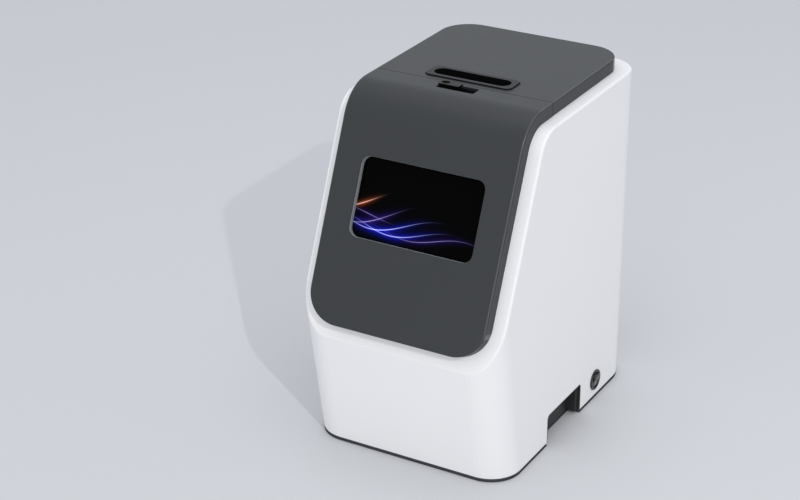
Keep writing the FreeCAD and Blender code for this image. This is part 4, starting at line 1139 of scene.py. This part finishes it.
@dataclass
class Display(Assembly):
    """Display glass with its picture, and the electronics behind it.

    Attributes:
        lean: angle of the glass from upright.
        overlap: how far the glass reaches behind the cover.
        corner: corner radius of the opening.
        play: gap between the bezel and the opening.
    """

    lean: float = math.radians(22.76)
    overlap: float = 4.0 * MM
    corner: float = 12.6 * MM
    bezel_wall: float = 0.4 * MM
    bezel_depth: float = 7.2 * MM
    bezel_soft: float = 0.12 * MM
    play: float = 0.06 * MM

    def build(self) -> None:
        """Dresses the glass, the module, its frame and the board, and adds the bezel."""
        low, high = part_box("display_glass")
        cosine, sine = math.cos(self.lean), math.sin(self.lean)
        out = Vector((0, -cosine, sine))
        up = Vector((0, sine, cosine))
        size = high - low
        thickness = (size.y * cosine - size.z * sine) / math.cos(2 * self.lean)
        rise = (size.z * cosine - size.y * sine) / math.cos(2 * self.lean)
        centre = (low + high) / 2 + out * thickness / 2
        centre.x = 0.0
        self._bezel(centre, up, out, size.x / 2 - self.overlap, rise / 2 - self.overlap)
        picture = Picture("display_picture", (0.0015, 0.0015, 0.0016), centre, up, out, self._ripples())
        self.dress(picture, "display_glass")
        self.dress(Moulded("module_moulding", (0.02, 0.02, 0.022)), "display_module")
        self.dress(ZINC_SHEET, "display_bracket")
        self.dress(Circuit("circuit_board"), "control_board")

    @staticmethod
    def _ripples() -> tuple[Ripple, ...]:
        """The picture's waves.

        Returns:
            A wave for each row of eight lengths in millimetres, a tint and a power.
        """
        blue = (0.01, 0.025, 0.95)
        violet = (0.10, 0.03, 0.62)
        warm = (1.0, 0.22, 0.04)
        rows = (
            (-24, 13, 190, -12, 0.34, 2.2, -44, 34, blue, 1.1),
            (-31, 9, 165, 10, 0.3, 2.4, -28, 36, blue, 1.0),
            (-14, 19, 215, -34, 0.3, 2.6, -60, 24, violet, 0.6),
            (-34, 7, 150, 30, 0.24, 1.8, 22, 40, violet, 0.4),
            (-20, 6, 170, 22, 0.2, 1.4, -64, 18, violet, 0.4),
            (2, 21, 240, -58, 0.34, 1.5, -76, 14, warm, 0.9),
        )
        return tuple(Ripple(*(length * MM for length in row[:8]), *row[8:]) for row in rows)

    def _bezel(self, centre: Vector, up: Vector, out: Vector, half: float, rise: float) -> None:
        """Satin ring that lines the opening between the cover's face and the glass.

        Args:
            centre: middle of the glass's face.
            up: way up the glass.
            out: way out of the glass.
            half: half width of the opening.
            rise: half height of the opening.
        """
        play, wall, depth, soft = self.play, self.bezel_wall, self.bezel_depth, self.bezel_soft
        section = ((play, play), (play, depth - soft), (play + soft, depth),
                   (wall - soft, depth), (wall, depth - soft), (wall, play))
        levels = []
        for inset, level in section:
            shape = Bench.rounded(half - inset, rise - inset, self.corner - inset, 10)
            levels.append([centre + Vector((x, 0, 0)) + up * y + out * level for x, y in shape])
        form = bmesh.new()
        Bench.loft(form, levels, closed=True)
        satin = Moulded("bezel_moulding", (0.20, 0.215, 0.22), roughness=0.4)
        self.add(Bench.mesh("display_bezel", form, 60.0), satin, "housing", "insert_grey")


@dataclass
class LidParts(Assembly):
    """Lid pull, latch, lid lining with its ribs and screws, seal and hinges.

    Attributes:
        rib_inset: distance of the ribs from the seal's outer edge.
        shade_ring_out: how far the black ring of painted shade round the pull stands out of the pull.
        gasket_play: gap between the ring and the pull.
        shade_ring_rise: gap between the ring and the lid.
        screw_size: radius and height of a screw's head, and radius of its socket.
    """

    rib: float = 1.4 * MM
    rib_drop: float = 1.5 * MM
    rib_soft: float = 0.2 * MM
    rib_inset: float = 14 * MM
    rib_count: int = 5
    shade_ring_out: float = 1.1 * MM
    shade_ring_height: float = 0.35 * MM
    gasket_play: float = 0.05 * MM
    shade_ring_rise: float = 0.02 * MM
    pull_corner: float = 8.0 * MM
    screw_side: float = 7 * MM
    screw_front: float = 30 * MM
    screw_back: float = 40 * MM
    screw_size: Point = (2.6 * MM, 1.3 * MM, 1.4 * MM)

    def build(self) -> None:
        """Dresses the lid's parts, and adds the black ring of painted shade round the pull and the lining's ribs
        and screws.
        """
        # The pull's slot and frame sides and the latch slider's sides get painted shade below a height just under
        # their tops.
        for name, node, drop in (("lid_pull_moulding", "lid_pull_insert", 0.05 * MM),
                                 ("latch_moulding", "latch_slider", 0.1 * MM)):
            self.dress(ShadedPocket(name, (0.016, 0.0165, 0.0175), roughness=0.6, specular=0.42,
                                edge=0.2 * MM, rim_height=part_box(node)[1].z - drop), node)
        # Black moulding made darker and duller than the other black mouldings: painted shade in the latch's well.
        self.dress(Moulded("latch_well_moulding", (0.004, 0.004, 0.005), roughness=0.6, specular=0.2),
                   "latch_guide")
        lining = Moulded("lid_lining_moulding", (0.045, 0.047, 0.05), roughness=0.45)
        self.dress(lining, "lid_inner")
        self.dress(Rubber("seal_rubber", (0.02, 0.021, 0.023)), "lid_seal")
        self.dress(Brushed("hinge_steel", (0.55, 0.56, 0.58), Run.ACROSS),
                   "lid_hinge_arms", "hinge_brackets", "lid_striker")
        self.dress(Brushed("pin_steel", (0.66, 0.67, 0.69), Run.ACROSS, 0.18), "hinge_pins")
        self._ribs(lining)
        self._lining_screws()
        self._gasket()

    def _gasket(self) -> None:
        """Black rubber ring round the pull's frame: painted shade that stands in for the shadow gap round the
        frame.
        """
        low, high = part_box("lid_pull_insert")
        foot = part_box("lid_shell")[1].z + self.shade_ring_rise
        centre = Vector(((low.x + high.x) / 2, (low.y + high.y) / 2, foot))
        half_x = (high.x - low.x) / 2
        half_y = (high.y - low.y) / 2
        levels = []
        for grow, level in ((self.gasket_play, 0.0), (self.shade_ring_out, 0.0), (self.shade_ring_out, self.shade_ring_height),
                            (self.gasket_play, self.shade_ring_height)):
            shape = Bench.rounded(half_x + grow, half_y + grow, self.pull_corner + grow)
            levels.append([centre + Vector((x, y, level)) for x, y in shape])
        form = bmesh.new()
        Bench.loft(form, levels, closed=True)
        # Near-black ring: painted shade round the pull's frame.
        self.add(Bench.mesh("pull_gasket", form), Rubber("gasket_rubber", (0.004, 0.004, 0.0045)),
                 "lid", "insert_grey")

    def _ribs(self, lining: Finish) -> None:
        """Ribs under the lid's lining, inside the seal.

        Args:
            lining: the lining's finish.
        """
        low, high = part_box("lid_seal")
        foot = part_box("lid_inner")[0].z
        half = (high.y - low.y) / 2 - self.rib_inset
        outline = Bench.rounded(self.rib / 2, half, self.rib * 0.45, 3)
        shrink = 1 - self.rib_soft / max(abs(x) for x, _ in outline)
        form = bmesh.new()
        for index in range(self.rib_count):
            x = low.x + self.rib_inset + (high.x - low.x - 2 * self.rib_inset) * index / (self.rib_count - 1)
            centre = Vector((x, (low.y + high.y) / 2, foot))
            section = ((1.0, 0.0), (1.0, self.rib_soft - self.rib_drop), (shrink, -self.rib_drop))
            Bench.loft(form, [[centre + Vector((x * share, y * share, level)) for x, y in outline]
                              for share, level in section], capped=True)
        self.add(Bench.mesh("lid_lining_ribs", form), lining, "lid", "insert_grey")

    def _lining_screws(self) -> None:
        """Screws that hold the lining to the lid's posts."""
        low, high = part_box("lid_inner")
        seal_low, seal_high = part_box("lid_seal")
        form = bmesh.new()
        for x in (low.x + self.screw_side, high.x - self.screw_side):
            for y in (low.y + self.screw_front, (seal_low.y + seal_high.y) / 2, high.y - self.screw_back):
                Bench.screw_head(form, Vector((x, y, low.z)), -UP, *self.screw_size)
        steel = Brushed("screw_steel", (0.5, 0.51, 0.53), Run.ACROSS, 0.25)
        self.add(Bench.mesh("lid_lining_screws", form, 25.0), steel, "lid", "steel")


@dataclass
class Chamber(Assembly):
    """Steel tub, its seal, the deck and what guides the plunger."""

    def build(self) -> None:
        """Dresses the chamber and the deck."""
        self.dress(Brushed("drawn_steel", (0.62, 0.625, 0.63), roughness=0.46), "chamber_liner")
        self.dress(Rubber("lip_rubber"), "shaft_seal")
        self.dress(Brushed("deck_aluminium", (0.60, 0.61, 0.63), Run.ACROSS, 0.42), "deck_plate")
        self.dress(Cast("sintered_bronze", (0.46, 0.27, 0.11), 0.42, 0.5 * MM),
                   "deck_bushing", "crosshead_bushings")
        self.dress(Brushed("column_steel", (0.64, 0.65, 0.67), roughness=0.16),
                   "deck_columns", "guide_rods", "plunger")
        self.dress(ZINC_SHEET, "chassis_plate")


@dataclass
class Shaker(Assembly):
    """Carriage with its rack of tubes, the clamp on its threaded stud, and the knob.

    Attributes:
        cap_lift: gap between a cap and the rack.
        cap_brim: height of the cap's smooth brim.
        cap_side: how far the ribbed side lies inside the brim.
        cap_crown: inset from the brim and drop from the top of the cap's upper points.
        tube_inset: how far a tube lies inside its cap.
        tube_tip: radius of its flat tip.
        bush_sink: how far the knob's bush is let in.
        bush_profile: radius and height of the bush's points.
    """

    cap_ribs: int = 18
    cap_rib_depth: float = 0.35 * MM
    cap_lift: float = 0.01 * MM
    cap_brim: float = 0.8 * MM
    cap_bevel: float = 0.3 * MM
    cap_side: float = 0.1 * MM
    cap_crown: tuple[Spot, ...] = ((0.1 * MM, 1.0 * MM), (0.9 * MM, 0.2 * MM), (1.5 * MM, 0.0),
                                   (2.2 * MM, 0.0), (2.5 * MM, 0.6 * MM))
    tube_inset: float = 1.3 * MM
    tube_tip: float = 1.4 * MM
    tube_cone: float = 10 * MM
    tube_lip: float = 1.0 * MM
    thread_pitch: float = 2.0 * MM
    thread_depth: float = 0.7 * MM
    bush_sink: float = 0.2 * MM
    bush_profile: tuple[Spot, ...] = ((5.2 * MM, 0), (8.4 * MM, 0), (8.4 * MM, 0.5 * MM),
                                      (8.1 * MM, 0.8 * MM), (5.4 * MM, 0.8 * MM), (5.2 * MM, 0.6 * MM),
                                      (5.2 * MM, 0))

    def build(self) -> None:
        """Dresses the moving parts and adds tubes, thread and the knob's bush."""
        self.dress(Brushed("machined_aluminium", (0.60, 0.61, 0.63), Run.DEEP, 0.44),
                   "carriage_plate", "crosshead", "clamp_plate")
        self.dress(Moulded("rack_plastic", (0.42, 0.47, 0.55), roughness=0.4, cloud=0.03), "tube_rack")
        self.dress(Rubber("pad_rubber"), "clamp_pad")
        self.dress(Moulded("knob_moulding", (0.018, 0.019, 0.021), roughness=0.38), "clamp_knob")
        self._tubes()
        self._stud()
        self._knob_bush()

    def _tubes(self) -> None:
        """Tubes with ribbed caps in place of the plain ones."""
        caps, bodies = bmesh.new(), bmesh.new()
        rack_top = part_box("tube_rack")[1].z
        for low, high in self.islands("sample_tubes"):
            foot = Vector(((low.x + high.x) / 2, (low.y + high.y) / 2, low.z))
            at = Vector((foot.x, foot.y, rack_top + self.cap_lift))
            radius = (high.x - low.x) / 2
            height = high.z - rack_top
            brim = [(0, 0), (radius - self.cap_bevel, 0), (radius, self.cap_bevel), (radius, self.cap_brim)]
            Bench.lathe(caps, brim, at, UP)
            crown = [(radius - inset, height - drop) for inset, drop in self.cap_crown]
            side = [(radius - self.cap_side, self.cap_brim), *crown, (0, crown[-1][1])]
            Bench.lathe(caps, side, at, UP, 72, self.cap_ribs, self.cap_rib_depth)
            wall = radius - self.tube_inset
            drop = rack_top - low.z
            body = [(0, 0), (self.tube_tip, 0), (wall, self.tube_cone), (wall, drop),
                    (wall - self.tube_lip, drop)]
            Bench.lathe(bodies, body, foot, UP, 24)
        cap_plastic = Moulded("cap_plastic", (0.72, 0.74, 0.77), roughness=0.35, cloud=0.01)
        self.add(Bench.mesh("tube_caps", caps), cap_plastic, "carriage", "tube")
        self.add(Bench.mesh("tube_bodies", bodies), Clear("tube_plastic", (0.85, 0.88, 0.9)),
                 "carriage", "tube", "sample_tubes")

    def _stud(self) -> None:
        """Threaded stud in place of the plain one."""
        low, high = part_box("clamp_stud")
        foot = Vector((0, (low.y + high.y) / 2, low.z))
        form = bmesh.new()
        Bench.thread(form, foot, high.z - low.z, (high.x - low.x) / 2, self.thread_pitch, self.thread_depth)
        steel = Brushed("stud_steel", (0.62, 0.63, 0.65), roughness=0.22)
        self.add(Bench.mesh("threaded_stud", form, 50.0), steel, "carriage", "bright_steel", "clamp_stud")

    def _knob_bush(self) -> None:
        """Steel bush in the top of the knob."""
        low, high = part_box("clamp_stud")
        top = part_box("clamp_knob")[1].z
        form = bmesh.new()
        Bench.lathe(form, self.bush_profile, Vector((0.0, (low.y + high.y) / 2, top - self.bush_sink)), UP)
        steel = Brushed("bush_steel", (0.6, 0.61, 0.63), Run.ACROSS, 0.25)
        self.add(Bench.mesh("knob_bush", form), steel, "knob", "steel")


@dataclass
class Drive(Assembly):
    """Crankcase, motor, pulleys, belt and power supply."""

    def build(self) -> None:
        """Dresses the drive."""
        self.dress(Cast("crankcase_casting", (0.52, 0.53, 0.54)), "crankcase")
        self.dress(Coated("motor_paint", (0.03, 0.032, 0.036), 0.45), "motor")
        self.dress(ZINC_SHEET, "motor_bracket", "power_supply")
        self.dress(Brushed("shaft_steel", (0.66, 0.67, 0.69), Run.ACROSS, 0.16), "motor_shaft", "drive_shaft")
        self.dress(Brushed("pulley_aluminium", (0.68, 0.69, 0.71), Run.ACROSS, 0.32),
                   "motor_pulley", "drive_pulley")
        self.dress(Rubber("belt_rubber", (0.02, 0.02, 0.021)), "timing_belt")


@dataclass
class Switch(Assembly):
    """Round rocker switch on the right side."""

    edge: float = 0.25 * MM

    def build(self) -> None:
        """Dresses the rim and the rocker with its two marks."""
        self.dress(Moulded("switch_moulding", (0.012, 0.0125, 0.014), roughness=0.33, edge=self.edge),
                   "switch_bezel")
        joint = next(item for item in frame["joints"] if item["name"] == "switch_rock")
        tilt = math.radians(joint["range_deg"][1]) / 2
        self.dress(Marked("rocker_moulding", (0.016, 0.0165, 0.018), roughness=0.3, edge=self.edge,
                          pivot=tuple(joint["pos_m"]), tilt=tilt), "switch_rocker")


@dataclass
class BackPanel(Assembly):
    """Back panel with its fan and the mains inlet."""

    def build(self) -> None:
        """Dresses the back."""
        self.dress(Coated("panel_coat", (0.03, 0.031, 0.034), 0.55), "rear_panel")
        self.dress(Moulded("inlet_moulding", (0.014, 0.0145, 0.016), roughness=0.4), "power_inlet")
        self.dress(Brushed("contact_brass", (0.72, 0.62, 0.42), Run.DEEP, 0.2), "inlet_contacts")
        self.dress(Moulded("fan_moulding", (0.017, 0.0175, 0.019), roughness=0.42),
                   "fan_frame", "fan_impeller")


@dataclass
class Fasteners(Assembly):
    """Screws with six-sided sockets in place of the plain ones.

    Attributes:
        shank: radius of the shank and of the socket, as a share of the head's.
        least: shortest shank that is drawn.
    """

    shank: float = 0.5
    least: float = 0.2 * MM

    def build(self) -> None:
        """Builds every group of screws: its node, the way out of the heads and their height."""
        steel = Brushed("fastener_steel", (0.45, 0.46, 0.48), Run.ACROSS, 0.28)
        for node, axis, height in (("rear_panel_screws", Vector((0, 1, 0)), 1.55 * MM),
                                   ("base_screws", -UP, 2.0 * MM),
                                   ("motor_screws", Vector((1, 0, 0)), 3.0 * MM),
                                   ("deck_screws", UP, 2.0 * MM)):
            self._group(node, axis, height, steel)
        self.dress(steel, "display_screws")

    def _group(self, node: str, axis: Vector, height: float, steel: Finish) -> None:
        """Screws of one node.

        Args:
            node: the node that they stand for.
            axis: direction out of the heads.
            height: height of a head.
            steel: their finish.
        """
        form = bmesh.new()
        along = max(range(3), key=lambda index: abs(axis[index]))
        for low, high in self.islands(node):
            head = (low + high) / 2
            head[along] = high[along] if axis[along] > 0 else low[along]
            foot = head - axis * height
            radius = max(high[index] - low[index] for index in range(3) if index != along) / 2
            inner = radius * self.shank
            Bench.screw_head(form, foot, axis, radius, height, inner)
            length = high[along] - low[along] - height
            if length > self.least:
                Bench.lathe(form, [(0, 0), (inner, 0), (inner, length)], foot - axis * length, axis, 16)
        record = frame["record"]
        body = next(body for body, nodes in record["behaviour"]["bodies"].items() if node in nodes)
        slot = next(part["material_slot"] for part in record["subparts"] if part["node"] == node)
        self.add(Bench.mesh(node + "_shown", form, 25.0), steel, body, slot, node)


@dataclass(frozen=True)
class Lamp:
    """Round lamp: its name, place, width, watts and colour."""

    name: str
    place: Point
    size: float
    power: float
    colour: Colour


@dataclass
class Studio:
    """Pale floor, the camera, and lamps that face one target.

    Attributes:
        turn: the camera's turn to the left, in radians.
        pitch: its pitch down, in radians.
        key_turn: the key lamp's turn towards the front, in radians.
        key_rise: its rise, in radians.
        sky: colour of the sky's light.
        backdrop: colour of the sky in the picture.
    """

    camera_at: Point = (1.0688, -2.0518, 1.3210)
    turn: float = 0.518850
    pitch: float = 0.442232
    lens: float = 89.74
    target: Point = (0.0, 0.0, 0.2)
    key_turn: float = math.radians(43.8)
    key_rise: float = math.radians(36.0)
    key_distance: float = 4.4
    key_size: float = 0.06
    key_power: float = 44.0
    soft_lamps: tuple[Lamp, ...] = (
        Lamp("front_lamp", (0.7, -3.1, 0.3), 1.1, 18.5, (1.0, 0.995, 0.99)),
        Lamp("back_lamp", (-1.7, 3.3, 2.1), 2.4, 2.5, (0.93, 0.97, 1.0)),
        Lamp("top_lamp", (0.1, 0.2, 3.1), 2.4, 15.0, (0.98, 0.99, 1.0)),
    )
    sky: Colour = (0.92, 0.95, 1.02)
    sky_strength: float = 0.865
    backdrop: Colour = (0.60, 0.62, 0.655)
    floor: Colour = (0.592, 0.597, 0.606)
    floor_radius: float = 14.0

    def build(self) -> None:
        """Makes the camera, the floor, the lamps and the world."""
        scene = bpy.context.scene
        scene.view_settings.view_transform = "Standard"
        self._camera(scene)
        self._floor()
        self._lamps()
        self._world(scene)

    def _camera(self, scene: bpy.types.Scene) -> None:
        """Camera that stands where the photographer's stood.

        Args:
            scene: the scene that it looks at.
        """
        data = bpy.data.cameras.new("camera")
        data.lens = self.lens
        data.sensor_width = 36.0
        data.clip_end = 60.0
        camera = bpy.data.objects.new("camera", data)
        camera.location = self.camera_at
        camera.rotation_euler = (math.pi / 2 - self.pitch, 0.0, self.turn)
        scene.collection.objects.link(camera)
        scene.camera = camera

    def _floor(self) -> None:
        """Wide pale floor, a hair below the table's level so that nothing lies in it."""
        form = bmesh.new()
        bmesh.ops.create_circle(form, cap_ends=True, segments=96, radius=self.floor_radius)
        bmesh.ops.translate(form, verts=form.verts, vec=(0.0, 0.0, -0.1 * MM))
        floor = Bench.mesh("studio_floor", form)
        floor.data.materials.append(Painted("floor_paint", self.floor).material())

    def _lamps(self) -> None:
        """Key lamp from the front right, and wide soft lamps in front, behind and above."""
        target = Vector(self.target)
        way = Vector((math.cos(self.key_turn), -math.sin(self.key_turn), math.tan(self.key_rise)))
        at = tuple(target + way.normalized() * self.key_distance)
        key = Lamp("key_lamp", at, self.key_size, self.key_power, (1.0, 0.985, 0.96))
        for lamp in (key, *self.soft_lamps):
            data = bpy.data.lights.new(lamp.name, "AREA")
            data.shape = "DISK"
            data.size = lamp.size
            data.energy = lamp.power
            data.color = lamp.colour
            made = bpy.data.objects.new(lamp.name, data)
            made.location = lamp.place
            made.rotation_mode = "QUATERNION"
            made.rotation_quaternion = (target - Vector(lamp.place)).to_track_quat("-Z", "Y")
            bpy.context.scene.collection.objects.link(made)

    def _world(self, scene: bpy.types.Scene) -> None:
        """Even pale sky; the camera sees it at the floor's tone.

        Args:
            scene: the scene under it.
        """
        world = bpy.data.worlds.new("studio_sky")
        world.use_nodes = True
        tree = world.node_tree
        tree.nodes.clear()
        rays = tree.nodes.new("ShaderNodeLightPath")
        mix = tree.nodes.new("ShaderNodeMixShader")
        end = tree.nodes.new("ShaderNodeOutputWorld")
        tree.links.new(rays.outputs["Is Camera Ray"], mix.inputs[0])
        tree.links.new(mix.outputs[0], end.inputs[0])
        for index, colour, strength in ((1, self.sky, self.sky_strength), (2, self.backdrop, 1.0)):
            light = tree.nodes.new("ShaderNodeBackground")
            light.inputs["Color"].default_value = (*colour, 1.0)
            light.inputs["Strength"].default_value = strength
            tree.links.new(light.outputs[0], mix.inputs[index])
        scene.world = world


def main() -> None:
    """Builds the studio and every sub-assembly."""
    logging.basicConfig(level=logging.INFO, format="%(name)s: %(message)s")
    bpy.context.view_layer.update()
    for part in (Studio(), Casing(), Display(), LidParts(), Chamber(), Shaker(), Drive(), Switch(),
                 BackPanel(), Fasteners()):
        part.build()
        log.info("built %s", type(part).__name__)


if __name__ == "__main__":
    main()
